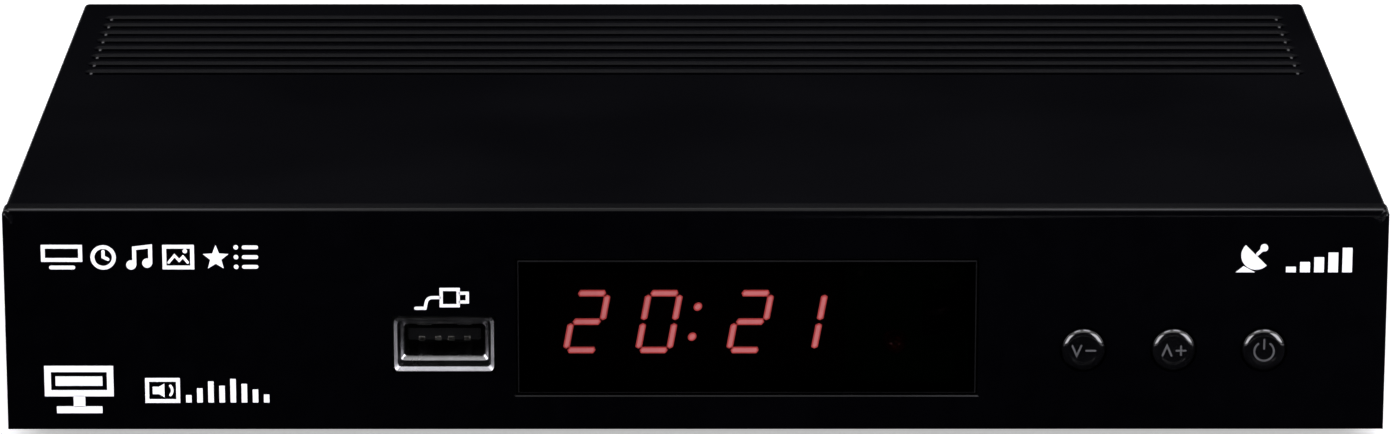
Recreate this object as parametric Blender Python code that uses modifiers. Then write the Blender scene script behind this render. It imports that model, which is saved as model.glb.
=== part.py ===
"""A small satellite television receiver, modelled piece by piece as it comes apart on a bench.

Metres, +Z up. The front panel looks along -Y and +X is to its right. The origin is the centre of the
footprint, on the surface that the feet stand on. Inside this file a place is given by three distances:
across from the panel's centre line, behind the panel's face, and above the panel's lower edge.
"""

import math

import bmesh
import bpy
from mathutils import Matrix, Vector

# Fits and shared allowances
CLEARANCE = 0.0003
OVERRUN = 0.001
WELD = 0.000001
MERGE = 0.00001
ROUND_STEPS = 24
SMALL_STEPS = 16
QUARTER_TURN = math.pi / 2
SHARP_ANGLE = math.radians(35)

# Housing
PANEL_WIDTH = 0.212
PANEL_HEIGHT = 0.0354
BODY_DEPTH = 0.136
SHELL_WALL = 0.002
SIDE_STEP = 0.0001
TOP_STEP = 0.0003
BASE_STEP = 0.0003
SPLIT_HEIGHT = 0.009

# Front bezel
BEZEL_WALL = 0.0028
BEZEL_RIM = 0.0034
FACE_BEVEL = 0.002
FACE_BEVEL_DEPTH = 0.0005
NECK_LENGTH = 0.005
NECK_WALL = 0.0016
LUG_WIDTH = 0.008
LUG_THICKNESS = 0.0016
LUG_REACH = 0.0014
LUG_SETBACK = 0.0016
LUG_PLACES_SHARES = (-0.36, -0.05, 0.36)
HOOK_WIDTH = 0.006
HOOK_THICKNESS = 0.001
HOOK_CATCH = 0.0008
HOOK_PLACES_SHARES = (-0.21, 0.21)

# Display window and what shows through it
WINDOW_WIDTH = 0.0704
WINDOW_HEIGHT = 0.0212
WINDOW_THICKNESS = 0.0018
WINDOW_RIGHT_MARGIN = 0.06295
WINDOW_CENTRE = 0.0166
WINDOW_LEDGE = 0.0012
WINDOW_EDGE = 0.0002
DIGIT_HEIGHT = 0.0101
DIGIT_WIDTH = 0.0058
DIGIT_SLANT = math.radians(10.4)
BAR_WIDTH = 0.001
BAR_GAP = 0.00025
BAR_RISE = 0.00015
BAR_SINK = 0.0004
DIGIT_CENTRE = 0.01695
DIGIT_PLACES_SHARES = (-0.3494, -0.1918, 0.0071)
ONE_PLACE_SHARE = 0.1243
COLON_PLACE_SHARE = -0.1132
COLON_SPREAD = 0.0048
DOT_RADIUS = 0.00065
MODULE_MARGIN = 0.0025
MODULE_HEIGHT = 0.016
MODULE_SETBACK = 0.0025
LAMP_PLACE_SHARE = 0.326
LAMP_CENTRE = 0.0127
LAMP_RADIUS = 0.0015
LAMP_LENGTH = 0.0042
LAMP_RIM = 0.0004
LAMP_RIM_LENGTH = 0.0006
LAMP_SETBACK = 0.003
RECEIVER_PLACE_SHARE = 0.4212
RECEIVER_CENTRE = 0.0174
RECEIVER_WIDTH = 0.0052
RECEIVER_HEIGHT = 0.0064
RECEIVER_DEPTH = 0.0036
RECEIVER_SETBACK = 0.0045
RECEIVER_DOME = 0.0019
LEG_WIDTH = 0.0005
LEG_PITCH = 0.00127

# Push buttons and their switches
BUTTON_NAMES = ("down", "up", "power")
BUTTON_RADIUS = 0.00335
BUTTON_PITCH = 0.01385
BUTTON_EDGE = 0.0188
BUTTON_CENTRE = 0.0131
BUTTON_PROUD = 0.0008
BUTTON_ROUND = 0.0005
BUTTON_TRAVEL = 0.0005
FLANGE_RADIUS = 0.0043
FLANGE_THICKNESS = 0.001
STEM_RADIUS = 0.0016
SLEEVE_WALL = 0.001
SLEEVE_LENGTH = 0.0028
SWITCH_SIZE = 0.0062
SWITCH_DEPTH = 0.0035
PLUNGER_RADIUS = 0.0017
PLUNGER_PROUD = 0.0012
PLUNGER_SUNK = 0.0014
PLUNGER_SPARE = 0.0007

# Front board
FRONT_BOARD_SETBACK = 0.0108
FRONT_BOARD_THICKNESS = 0.0016
FRONT_BOARD_EDGE = 0.008
FRONT_BOARD_BOTTOM = 0.0035
FRONT_BOSS_RADIUS = 0.00275
FRONT_BOSS_HOLE_DEPTH = 0.006
FRONT_BOSS_INSET = 0.0032
FRONT_BOSS_DROP = 0.0045

# USB socket
USB_WINDOW_GAP = 0.00365
USB_WIDTH = 0.0131
USB_HEIGHT = 0.00572
USB_SHEET = 0.0003
USB_LENGTH = 0.014
USB_SETBACK = 0.0001
USB_FLARE_WIDTH = 0.0153
USB_FLARE_HEIGHT = 0.0085
USB_FLARE_THICKNESS = 0.0004
USB_CUT_MARGIN = 0.00035
USB_TONGUE_WIDTH = 0.0111
USB_TONGUE_THICKNESS = 0.00184
USB_TONGUE_SETBACK = 0.003
USB_TONGUE_DROP = 0.0008
USB_BLOCK_LENGTH = 0.0025

# Main board
BOARD_THICKNESS = 0.0016
STANDOFF_HEIGHT = 0.0065
STANDOFF_RADIUS = 0.003
BOARD_SIDE_MARGIN = 0.012
BOARD_FRONT = 0.0045
BOARD_SHELF_MARGIN = 0.003
BOARD_REAR_MARGIN = 0.0011
BOARD_TONGUE_MARGIN = 0.0015
BOARD_SCREW_INSET = 0.008
BOARD_SCREW_MARGIN = 0.005

# Rear panel
PLATE_THICKNESS = 0.001
PLATE_INSET = 0.0014
PLATE_GROOVE = 0.001
SOCKET_PROUD = 0.0008
CUT_MARGIN = 0.0007
VENT_WIDTH = 0.002
VENT_PITCH = 0.005
PLATE_VENT_COUNT = 8
PLATE_VENT_HEIGHT = 0.004
PLATE_VENT_DROP = 0.003
TUNER_VENT_COUNT = 8

# Tuner and its two coaxial connectors
TUNER_WIDTH = 0.052
TUNER_DEPTH_SHARE = 0.25
TUNER_HEIGHT = 0.0155
TUNER_SHEET = 0.0006
TUNER_EDGE = 0.0004
TUNER_SIDE_GAP = 0.001
COAX_PITCH = 0.025
COAX_CENTRE = 0.0199
COAX_RADIUS = 0.0047
COAX_REACH = 0.0102
COAX_CHAMFER = 0.0006
COAX_WELL_RADIUS = 0.0031
COAX_WELL_DEPTH = 0.0008
COAX_PIN_RADIUS = 0.0006
COAX_PIN_DEPTH = 0.006
COAX_SHOULDER_RADIUS = 0.0058
COAX_SHOULDER_THICKNESS = 0.0007
COAX_STUB_RADIUS = 0.0036
COAX_STUB_LENGTH = 0.004
NUT_FLATS = 0.0111
NUT_THICKNESS = 0.003

# Rear sockets. Each gap share is the part of the row's spare width that lies to the socket's left.
POWER_GAP_SHARE = 0.08
POWER_WIDTH = 0.009
POWER_HEIGHT = 0.011
POWER_LENGTH = 0.014
POWER_BORE_RADIUS = 0.0032
POWER_BORE_DEPTH = 0.0095
POWER_PIN_RADIUS = 0.001
POWER_PIN_SETBACK = 0.001
HDMI_GAP_SHARE = 0.23
HDMI_WIDTH = 0.015
HDMI_HEIGHT = 0.0059
HDMI_TAPER = 0.0021
HDMI_SHOULDER = 0.003
HDMI_SHEET = 0.0004
HDMI_LENGTH = 0.0118
HDMI_TONGUE_WIDTH = 0.0104
HDMI_TONGUE_THICKNESS = 0.0013
HDMI_TONGUE_SETBACK = 0.002
HDMI_BLOCK_LENGTH = 0.003
SCART_GAP_SHARE = 0.28
SCART_WIDTH = 0.0465
SCART_HEIGHT = 0.0165
SCART_SKEW = 0.005
SCART_SHROUD_WALL = 0.0012
SCART_GAP = 0.0021
SCART_SHROUD_DEPTH = 0.0075
SCART_BODY_LENGTH = 0.011
SCART_CONTACTS_PER_ROW = 10
SCART_CONTACT_PITCH = 0.00381
SCART_CONTACT_WIDTH = 0.0011
SCART_CONTACT_HEIGHT = 0.0026
SCART_CONTACT_DEPTH = 0.004
SCART_ROW_SPREAD = 0.0052
SCART_STAGGER_SHARE = 0.25
AUDIO_GAP_SHARE = 0.21
AUDIO_WIDTH = 0.01
AUDIO_HEIGHT = 0.0125
AUDIO_LENGTH = 0.011
AUDIO_CENTRE = 0.0189
AUDIO_SLEEVE_RADIUS = 0.00415
AUDIO_SLEEVE_REACH = 0.0085
AUDIO_BORE_RADIUS = 0.0016
AUDIO_BORE_DEPTH = 0.009

# Smart-card reader
READER_FRONT_SHARE = 0.75
READER_WIDTH = 0.056
READER_REACH = 0.061
READER_HEIGHT = 0.005
READER_WALL = 0.0007
READER_SLOT_RISE = 0.0016
READER_SLOT_HEIGHT = 0.0014
READER_SLOT_DEPTH = 0.058
READER_WALL_GAP = 0.0006
CARD_SLOT_MARGIN = 0.0003

# Small parts on the main board
PROCESSOR_SIZE = 0.023
PROCESSOR_THICKNESS = 0.0016
PROCESSOR_BEHIND = 0.062
SINK_SIZE = 0.028
SINK_BASE = 0.002
SINK_FIN_HEIGHT = 0.008
SINK_FINS = 7
SINK_FIN_SHARE = 0.36
MEMORY_WIDTH = 0.014
MEMORY_DEPTH = 0.009
MEMORY_THICKNESS = 0.0011
MEMORY_GAP = 0.006
MEMORY_PITCH = 0.016
FLASH_WIDTH = 0.018
FLASH_DEPTH = 0.012
FLASH_GAP = 0.003
CAPACITOR_RADIUS = 0.004
CAPACITOR_HEIGHT = 0.0115
CAPACITOR_RIM = 0.0006
CAPACITOR_PITCH = 0.011
CAPACITOR_SETBACK = 0.034
INDUCTOR_SIZE = 0.012
INDUCTOR_HEIGHT = 0.006
INDUCTOR_SETBACK = 0.054
INDUCTOR_EDGE = 0.0015
CRYSTAL_WIDTH = 0.011
CRYSTAL_DEPTH = 0.0046
CRYSTAL_HEIGHT = 0.0035
CRYSTAL_GAP = 0.003
CRYSTAL_EDGE = 0.0012
CHIP_EDGE = 0.0002

# Flat cable between the boards
RIBBON_ACROSS = 0.003
RIBBON_WIDTH = 0.0127
RIBBON_THICKNESS = 0.0009
RIBBON_RADIUS = 0.004
RIBBON_RUN = 0.002
RIBBON_ARC_STEPS = 8
RIBBON_HEIGHT = 0.0225
SOCKET_WIDTH = 0.0145
SOCKET_DEPTH = 0.005
SOCKET_HEIGHT = 0.005

# Ventilation of the top cover
GROOVE_COUNT = 8
GROOVE_PITCH = 0.00545
GROOVE_WIDTH = 0.0026
GROOVE_DEPTH = 0.001
GROOVE_REAR_MARGIN = 0.0091
GROOVE_SIDE_MARGIN = 0.0049
GROOVE_END_STEPS = 6
SLOT_WIDTH = 0.002
SLOT_COUNT = 5
SLOT_BRIDGE = 0.003
COVER_EDGE = 0.0009
COVER_EDGE_STEPS = 3
SIDE_VENT_COUNT = 8
SIDE_VENT_HEIGHT = 0.014
SIDE_VENT_SETBACK = 0.045
SIDE_VENT_RISE = 0.005

# Posts, bosses, vents and feet of the base
POST_INSET = 0.0064
POST_REAR_MARGIN = 0.014
POST_RADIUS = 0.0035
POST_HOLE_DEPTH = 0.009
TRAY_BOSS_RADIUS = 0.004
COUNTERBORE_DEPTH = 0.004
TRAY_LIP = 0.001
TRAY_LIP_RISE = 0.0012
TRAY_LIP_END_GAP = 0.0008
TRAY_EDGE = 0.001
TRAY_VENT_COUNT = 8
TRAY_VENT_LENGTH = 0.04
FOOT_RADIUS = 0.007
FOOT_DROP = 0.002
FOOT_RECESS = 0.0007
FOOT_TAPER = 0.0006
FOOT_INSET = 0.02

# Screws
COVER_SCREW = {"head": 0.0028, "rise": 0.0019, "shank": 0.00145, "length": 0.012}
BOARD_SCREW = {"head": 0.0027, "rise": 0.0018, "shank": 0.0013, "length": 0.0062}
FRONT_SCREW = {"head": 0.0023, "rise": 0.0015, "shank": 0.0011, "length": 0.006}
SCREW_STEPS = 12
SCREW_TIP_SHARE = 0.4
SCREW_CROWN_SHARE = 0.6
CROSS_SPAN_SHARE = 1.1
CROSS_ARM_SHARE = 0.3
CROSS_DEPTH_SHARE = 0.55

# Levels and planes that several pieces share
SHELL_SIDE = PANEL_WIDTH / 2 - SIDE_STEP
SHELL_INNER = SHELL_SIDE - SHELL_WALL
SHELL_FRONT = BEZEL_RIM + CLEARANCE
COVER_TOP = PANEL_HEIGHT - TOP_STEP
CEILING = COVER_TOP - SHELL_WALL
TRAY_FLOOR = BASE_STEP + SHELL_WALL
COVER_BOTTOM = SPLIT_HEIGHT + CLEARANCE
NECK_SIDE = SHELL_INNER - CLEARANCE
NECK_TOP = CEILING - CLEARANCE
NECK_BOTTOM = TRAY_FLOOR + CLEARANCE
NECK_END = BEZEL_RIM + NECK_LENGTH
PLATE_BACK = BODY_DEPTH - PLATE_INSET
PLATE_FRONT = PLATE_BACK - PLATE_THICKNESS
SOCKET_END = PLATE_BACK + SOCKET_PROUD
BOARD_BOTTOM = TRAY_FLOOR + STANDOFF_HEIGHT + CLEARANCE
DECK = BOARD_BOTTOM + BOARD_THICKNESS
SEAT = DECK + CLEARANCE
BOARD_SIDE = SHELL_INNER - BOARD_SIDE_MARGIN
BOARD_REAR = PLATE_FRONT - BOARD_REAR_MARGIN
FRONT_BOARD_BACK = FRONT_BOARD_SETBACK + FRONT_BOARD_THICKNESS
FRONT_SEAT = FRONT_BOARD_SETBACK - CLEARANCE
FRONT_BOARD_TOP = NECK_TOP - HOOK_THICKNESS - CLEARANCE
FRONT_BOARD_RIGHT = PANEL_WIDTH / 2 - FRONT_BOARD_EDGE
WINDOW_ACROSS = PANEL_WIDTH / 2 - WINDOW_RIGHT_MARGIN - WINDOW_WIDTH / 2
DIGITS_ACROSS = [WINDOW_ACROSS + share * WINDOW_WIDTH for share in DIGIT_PLACES_SHARES]
ONE_ACROSS = WINDOW_ACROSS + ONE_PLACE_SHARE * WINDOW_WIDTH
COLON_ACROSS = WINDOW_ACROSS + COLON_PLACE_SHARE * WINDOW_WIDTH
LAMP_ACROSS = WINDOW_ACROSS + LAMP_PLACE_SHARE * WINDOW_WIDTH
RECEIVER_ACROSS = WINDOW_ACROSS + RECEIVER_PLACE_SHARE * WINDOW_WIDTH
USB_ACROSS = WINDOW_ACROSS - WINDOW_WIDTH / 2 - USB_WINDOW_GAP - USB_FLARE_WIDTH / 2
BOARD_NOTCH = USB_ACROSS + USB_WIDTH / 2 + BOARD_TONGUE_MARGIN
FRONT_BOARD_LEFT = BOARD_NOTCH + OVERRUN
BOARD_SHELF = FRONT_BOARD_BACK + BOARD_SHELF_MARGIN
USB_CENTRE = SEAT + USB_HEIGHT / 2
BUTTONS_ACROSS = [PANEL_WIDTH / 2 - BUTTON_EDGE - BUTTON_PITCH * count for count in (2, 1, 0)]
FLANGE_SETBACK = BEZEL_WALL + CLEARANCE
SWITCH_FRONT = FRONT_SEAT - SWITCH_DEPTH
PLUNGER_TIP = SWITCH_FRONT - PLUNGER_PROUD
PLUNGER_WELL = PLUNGER_SUNK + BUTTON_TRAVEL + PLUNGER_SPARE
TUNER_RIGHT = BOARD_SIDE - TUNER_SIDE_GAP
TUNER_CENTRE = TUNER_RIGHT - TUNER_WIDTH / 2
SHOULDER_FRONT = PLATE_FRONT - CLEARANCE - COAX_SHOULDER_THICKNESS
TUNER_REAR = SHOULDER_FRONT - CLEARANCE
TUNER_DEPTH = BODY_DEPTH * TUNER_DEPTH_SHARE
TUNER_FRONT = TUNER_REAR - TUNER_DEPTH
TUNER_LEFT = TUNER_RIGHT - TUNER_WIDTH
COAX_END = PLATE_BACK + COAX_REACH
SOCKET_WIDTHS = POWER_WIDTH + HDMI_WIDTH + SCART_WIDTH + AUDIO_WIDTH
ROW_SPARE = TUNER_LEFT + BOARD_SIDE - SOCKET_WIDTHS
POWER_ACROSS = POWER_GAP_SHARE * ROW_SPARE + POWER_WIDTH / 2 - BOARD_SIDE
HDMI_ACROSS = POWER_ACROSS + HDMI_GAP_SHARE * ROW_SPARE + (POWER_WIDTH + HDMI_WIDTH) / 2
SCART_ACROSS = HDMI_ACROSS + SCART_GAP_SHARE * ROW_SPARE + (HDMI_WIDTH + SCART_WIDTH) / 2
AUDIO_ACROSS = SCART_ACROSS + AUDIO_GAP_SHARE * ROW_SPARE + (SCART_WIDTH + AUDIO_WIDTH) / 2
READER_RIGHT = SHELL_INNER - READER_WALL_GAP
READER_LEFT = READER_RIGHT - READER_REACH
READER_SETBACK = BOARD_SHELF + READER_FRONT_SHARE * (TUNER_FRONT - BOARD_SHELF - READER_WIDTH)
READER_REAR = READER_SETBACK + READER_WIDTH
POST_FRONT = (BOARD_SHELF + READER_SETBACK) / 2
OVERALL_DEPTH = BUTTON_PROUD + COAX_END
FACE_PLANE = BUTTON_PROUD - OVERALL_DEPTH / 2

# Finishes: base colour, roughness and metallic value
GLOSS_BLACK = ((0.004, 0.004, 0.005), 0.12, 0.0)
SATIN_BLACK = ((0.008, 0.008, 0.010), 0.42, 0.0)
SMOKED = ((0.002, 0.001, 0.001), 0.05, 0.0)
DIGIT_HOUSING = ((0.010, 0.006, 0.006), 0.55, 0.0)
LENS_BLACK = ((0.012, 0.006, 0.010), 0.25, 0.0)
LAMP_RED = ((0.450, 0.020, 0.015), 0.20, 0.0)
BOARD_GREEN = ((0.010, 0.075, 0.030), 0.45, 0.0)
BRIGHT_STEEL = ((0.620, 0.620, 0.610), 0.24, 1.0)
GALVANISED = ((0.520, 0.525, 0.530), 0.38, 1.0)
NICKEL = ((0.640, 0.620, 0.580), 0.28, 1.0)
SOCKET_BLACK = ((0.015, 0.015, 0.016), 0.50, 0.0)
CONNECTOR_CREAM = ((0.640, 0.600, 0.500), 0.50, 0.0)
JACK_ORANGE = ((0.700, 0.190, 0.020), 0.45, 0.0)
CHIP_BLACK = ((0.018, 0.018, 0.020), 0.60, 0.0)
SINK_GREY = ((0.450, 0.460, 0.470), 0.35, 1.0)
CAN_SLEEVE = ((0.020, 0.024, 0.050), 0.35, 0.0)
FERRITE = ((0.050, 0.048, 0.046), 0.70, 0.0)
RIBBON_GREY = ((0.480, 0.480, 0.500), 0.55, 0.0)
RUBBER_BLACK = ((0.020, 0.020, 0.020), 0.90, 0.0)
SWITCH_BLACK = ((0.020, 0.020, 0.022), 0.55, 0.0)
ZINC = ((0.550, 0.560, 0.560), 0.30, 1.0)


def start_clean():
    """Empties the scene and makes a collection for the pieces and one for the cutting shapes."""
    for obj in list(bpy.data.objects):
        bpy.data.objects.remove(obj)
    made = []
    for name in ("satellite_receiver", "cutters"):
        collection = bpy.data.collections.new(name)
        bpy.context.scene.collection.children.link(collection)
        made.append(collection)
    return made


PIECES, CUTTERS = start_clean()


def at(across, behind, height):
    """The world place of a point given by its three distances on the receiver."""
    return Vector((across, FACE_PLANE + behind, FOOT_DROP + height))


def piece(name, mesh, place, turn=(0, 0, 0)):
    """An object in the pieces' collection, made from a bmesh."""
    data = bpy.data.meshes.new(name)
    mesh.to_mesh(data)
    mesh.free()
    obj = bpy.data.objects.new(name, data)
    obj.location = place
    obj.rotation_euler = turn
    PIECES.objects.link(obj)
    return obj


def block(name, across, behind, height):
    """A box between two planes each way."""
    low, high = (at(*corner) for corner in zip(across, behind, height))
    mesh = bmesh.new()
    bmesh.ops.create_cube(mesh, size=1, matrix=Matrix.Diagonal((*(high - low), 1)))
    return piece(name, mesh, (low + high) / 2)


def around(centre, size):
    """The two ends of a stretch of this size about its centre."""
    return centre - size / 2, centre + size / 2


def blocks(name, boxes):
    """Several boxes that lie apart, as one cutting shape."""
    mesh = bmesh.new()
    for across, behind, height in boxes:
        low, high = (at(*corner) for corner in zip(across, behind, height))
        grown = Matrix.Translation((low + high) / 2) @ Matrix.Diagonal((*(high - low), 1))
        bmesh.ops.create_cube(mesh, size=1, matrix=grown)
    return piece(name, mesh, (0, 0, 0))


def rod(name, radius, start, length, along="Z", steps=ROUND_STEPS):
    """A cylinder that starts at a place and runs along +Z, or backwards along +Y."""
    mesh = bmesh.new()
    bmesh.ops.create_cone(
        mesh,
        cap_ends=True,
        segments=steps,
        radius1=radius,
        radius2=radius,
        depth=length,
        matrix=Matrix.Translation((0, 0, length / 2)),
    )
    turn = (-QUARTER_TURN, 0, 0) if along == "Y" else (0, 0, 0)
    return piece(name, mesh, start, turn)


def turned(name, profile, place, turn=(0, 0, 0), steps=ROUND_STEPS):
    """A turned piece: its profile of (radius, height) points runs down the outer side."""
    mesh = bmesh.new()
    points = [mesh.verts.new((radius, 0, height)) for radius, height in profile]
    for first, second in zip(points, points[1:]):
        mesh.edges.new((first, second))
    obj = piece(name, mesh, place, turn)
    screw = obj.modifiers.new("turn", "SCREW")
    screw.steps = steps
    screw.render_steps = steps
    screw.use_merge_vertices = True
    screw.merge_threshold = MERGE
    screw.use_smooth_shade = True
    return obj


def flat_shape(name, outlines, thickness, place, turn=(0, 0, 0)):
    """Flat outlines with a thickness, half to each side of the place."""
    curve = bpy.data.curves.new(name, "CURVE")
    curve.dimensions = "2D"
    curve.fill_mode = "BOTH"
    curve.extrude = thickness / 2
    for points in outlines:
        spline = curve.splines.new("POLY")
        spline.points.add(len(points) - 1)
        for point, (x, y) in zip(spline.points, points):
            point.co = (x, y, 0, 1)
        spline.use_cyclic_u = True
    drawn = bpy.data.objects.new(name + "_outline", curve)
    PIECES.objects.link(drawn)
    graph = bpy.context.evaluated_depsgraph_get()
    data = bpy.data.meshes.new_from_object(drawn.evaluated_get(graph))
    bpy.data.objects.remove(drawn)
    mesh = bmesh.new()
    mesh.from_mesh(data)
    bpy.data.meshes.remove(data)
    bmesh.ops.remove_doubles(mesh, verts=mesh.verts, dist=WELD)
    bmesh.ops.recalc_face_normals(mesh, faces=mesh.faces)
    return piece(name, mesh, place, turn)


def upright(name, outlines, behind_ends, across=0, height=0):
    """Outlines seen from the front, with a thickness between two distances behind the face."""
    place = at(across, sum(behind_ends) / 2, height)
    return flat_shape(name, outlines, behind_ends[1] - behind_ends[0], place, (QUARTER_TURN, 0, 0))


def set_aside(obj):
    """Moves a shape that cuts or joins another one out of the pieces."""
    PIECES.objects.unlink(obj)
    CUTTERS.objects.link(obj)
    obj.hide_render = True
    obj.display_type = "WIRE"


def combine(obj, others, operation):
    for other in others:
        set_aside(other)
        modifier = obj.modifiers.new(other.name, "BOOLEAN")
        modifier.operation = operation
        modifier.object = other


def cut(obj, *others):
    combine(obj, others, "DIFFERENCE")


def fuse(obj, *others):
    combine(obj, others, "UNION")


def soften(obj, width, segments=2):
    """Rounds the piece's edges."""
    bevel = obj.modifiers.new("rounded edges", "BEVEL")
    bevel.width = width
    bevel.segments = segments
    bevel.limit_method = "ANGLE"
    return obj


def finish(obj, look):
    """Gives a piece its own material and clean shading."""
    colour, roughness, metallic = look
    material = bpy.data.materials.new(obj.name)
    material.use_nodes = True
    shader = material.node_tree.nodes["Principled BSDF"]
    shader.inputs["Base Color"].default_value = (*colour, 1)
    shader.inputs["Roughness"].default_value = roughness
    shader.inputs["Metallic"].default_value = metallic
    obj.data.materials.append(material)
    if obj.data.polygons:
        obj.data.shade_smooth()
        obj.data.set_sharp_from_angle(angle=SHARP_ANGLE)
    return obj


def screw(name, sizes, seat, turn):
    """A pan-head screw with a cross recess, its head standing on the seat."""
    head, rise, shank, length = (sizes[key] for key in ("head", "rise", "shank", "length"))
    tip = shank * SCREW_TIP_SHARE
    profile = [
        (0, rise),
        (head * SCREW_CROWN_SHARE, rise),
        (head, rise * SCREW_CROWN_SHARE),
        (head, 0),
        (shank, 0),
        (shank, shank - length),
        (tip, -length),
        (0, -length),
    ]
    obj = turned(name, profile, seat, turn, SCREW_STEPS)
    span = head * CROSS_SPAN_SHARE / 2
    arm = head * CROSS_ARM_SHARE / 2
    cross = [
        (span, -arm),
        (span, arm),
        (arm, arm),
        (arm, span),
        (-arm, span),
        (-arm, arm),
        (-span, arm),
        (-span, -arm),
        (-arm, -arm),
        (-arm, -span),
        (arm, -span),
        (arm, -arm),
    ]
    slanted = [((x - y) * math.sqrt(0.5), (x + y) * math.sqrt(0.5)) for x, y in cross]
    recess = flat_shape(name + "_recess", [slanted], rise * CROSS_DEPTH_SHARE * 2, seat, turn)
    recess.location = recess.location + Matrix.Rotation(turn[0], 3, "X") @ Vector((0, 0, rise))
    cut(obj, recess)
    return finish(obj, ZINC)


# Front bezel


def face_block():
    """The panel itself, with the wide shallow bevel round its face."""
    mesh = bmesh.new()
    low = at(-PANEL_WIDTH / 2, FACE_BEVEL_DEPTH, 0)
    high = at(PANEL_WIDTH / 2, BEZEL_RIM, PANEL_HEIGHT)
    bmesh.ops.create_cube(mesh, size=1, matrix=Matrix.Diagonal((*(high - low), 1)))
    mesh.normal_update()
    front = [face for face in mesh.faces if face.normal.y < 0 and not face.normal.x]
    bmesh.ops.inset_region(mesh, faces=front, thickness=FACE_BEVEL, depth=FACE_BEVEL_DEPTH)
    return piece("front_bezel", mesh, (low + high) / 2)


def button_sleeve(name, across):
    """The collar on the back of the bezel that a button's flange slides in."""
    outer = FLANGE_RADIUS + CLEARANCE + SLEEVE_WALL
    start = at(across, BEZEL_WALL - OVERRUN, BUTTON_CENTRE)
    return rod(name, outer, start, SLEEVE_LENGTH + OVERRUN, "Y")


def board_hooks(bezel):
    """Two arms on the neck that reach over the front board and catch behind it."""
    catch = FRONT_BOARD_BACK + CLEARANCE
    for index, share in enumerate(HOOK_PLACES_SHARES):
        across = around(WINDOW_ACROSS + share * WINDOW_WIDTH, HOOK_WIDTH)
        reach = (NECK_END - OVERRUN, catch + HOOK_THICKNESS)
        arm = block(f"hook_arm_{index}", across, reach, (NECK_TOP - HOOK_THICKNESS, NECK_TOP))
        drop = (FRONT_BOARD_TOP - HOOK_CATCH, NECK_TOP - HOOK_THICKNESS / 2)
        barb = block(f"hook_barb_{index}", across, (catch, catch + HOOK_THICKNESS), drop)
        fuse(arm, barb)
        fuse(bezel, arm)


def front_boss_places():
    """Where the two screws of the front board go: above the first button and at the lower right."""
    upper = (BUTTONS_ACROSS[0], FRONT_BOARD_TOP - FRONT_BOSS_DROP)
    lower = (FRONT_BOARD_RIGHT - FRONT_BOSS_INSET, FRONT_BOARD_BOTTOM + FRONT_BOSS_INSET)
    return upper, lower


def bezel_lugs():
    """Tongues under the neck that drop into slots in the tray."""
    height = (NECK_BOTTOM - LUG_REACH, NECK_BOTTOM + NECK_WALL / 2)
    behind = (BEZEL_RIM + LUG_SETBACK, BEZEL_RIM + LUG_SETBACK + LUG_THICKNESS)
    for index, share in enumerate(LUG_PLACES_SHARES):
        yield block(f"lug_{index}", around(share * PANEL_WIDTH, LUG_WIDTH), behind, height)


def front_bezel():
    bezel = face_block()
    neck_height = (NECK_BOTTOM, NECK_TOP)
    neck = block("neck", (-NECK_SIDE, NECK_SIDE), (BEZEL_RIM - OVERRUN, NECK_END), neck_height)
    fuse(bezel, neck)
    hollow_side = NECK_SIDE - NECK_WALL
    hollow = block(
        "neck_hollow",
        (-hollow_side, hollow_side),
        (BEZEL_WALL, NECK_END + OVERRUN),
        (NECK_BOTTOM + NECK_WALL, NECK_TOP - NECK_WALL),
    )
    cut(bezel, hollow)
    fuse(bezel, *bezel_lugs())
    board_hooks(bezel)
    pocket_width = WINDOW_WIDTH + 2 * CLEARANCE
    pocket_height = WINDOW_HEIGHT + 2 * CLEARANCE
    cut(
        bezel,
        block(
            "window_pocket",
            around(WINDOW_ACROSS, pocket_width),
            (-OVERRUN, WINDOW_THICKNESS + CLEARANCE),
            around(WINDOW_CENTRE, pocket_height),
        ),
        block(
            "window_opening",
            around(WINDOW_ACROSS, WINDOW_WIDTH - 2 * WINDOW_LEDGE),
            (0, BEZEL_WALL + OVERRUN),
            around(WINDOW_CENTRE, WINDOW_HEIGHT - 2 * WINDOW_LEDGE),
        ),
        block(
            "usb_opening",
            around(USB_ACROSS, USB_FLARE_WIDTH + 2 * USB_CUT_MARGIN),
            (-OVERRUN, BEZEL_WALL + OVERRUN),
            around(USB_CENTRE, USB_FLARE_HEIGHT + 2 * USB_CUT_MARGIN),
        ),
    )
    for name, across in zip(BUTTON_NAMES, BUTTONS_ACROSS):
        fuse(bezel, button_sleeve(f"sleeve_{name}", across))
        guide = at(across, BEZEL_WALL, BUTTON_CENTRE)
        through = at(across, -OVERRUN, BUTTON_CENTRE)
        cut(
            bezel,
            rod(f"guide_{name}", FLANGE_RADIUS + CLEARANCE, guide, SLEEVE_LENGTH + OVERRUN, "Y"),
            rod(f"hole_{name}", BUTTON_RADIUS + CLEARANCE, through, BEZEL_WALL + 2 * OVERRUN, "Y"),
        )
    for index, (across, height) in enumerate(front_boss_places()):
        start = BEZEL_WALL - OVERRUN
        boss = at(across, start, height)
        fuse(bezel, rod(f"boss_{index}", FRONT_BOSS_RADIUS, boss, FRONT_SEAT - start, "Y", SMALL_STEPS))
        hole = at(across, FRONT_SEAT - FRONT_BOSS_HOLE_DEPTH, height)
        bore = FRONT_SCREW["shank"] + CLEARANCE
        cut(bezel, rod(f"boss_bore_{index}", bore, hole, FRONT_BOSS_HOLE_DEPTH + OVERRUN, "Y", SMALL_STEPS))
    return finish(bezel, GLOSS_BLACK)


# Display


def display_window():
    window = block(
        "display_window",
        around(WINDOW_ACROSS, WINDOW_WIDTH),
        (0, WINDOW_THICKNESS),
        around(WINDOW_CENTRE, WINDOW_HEIGHT),
    )
    soften(window, WINDOW_EDGE, 1)
    return finish(window, SMOKED)


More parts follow.
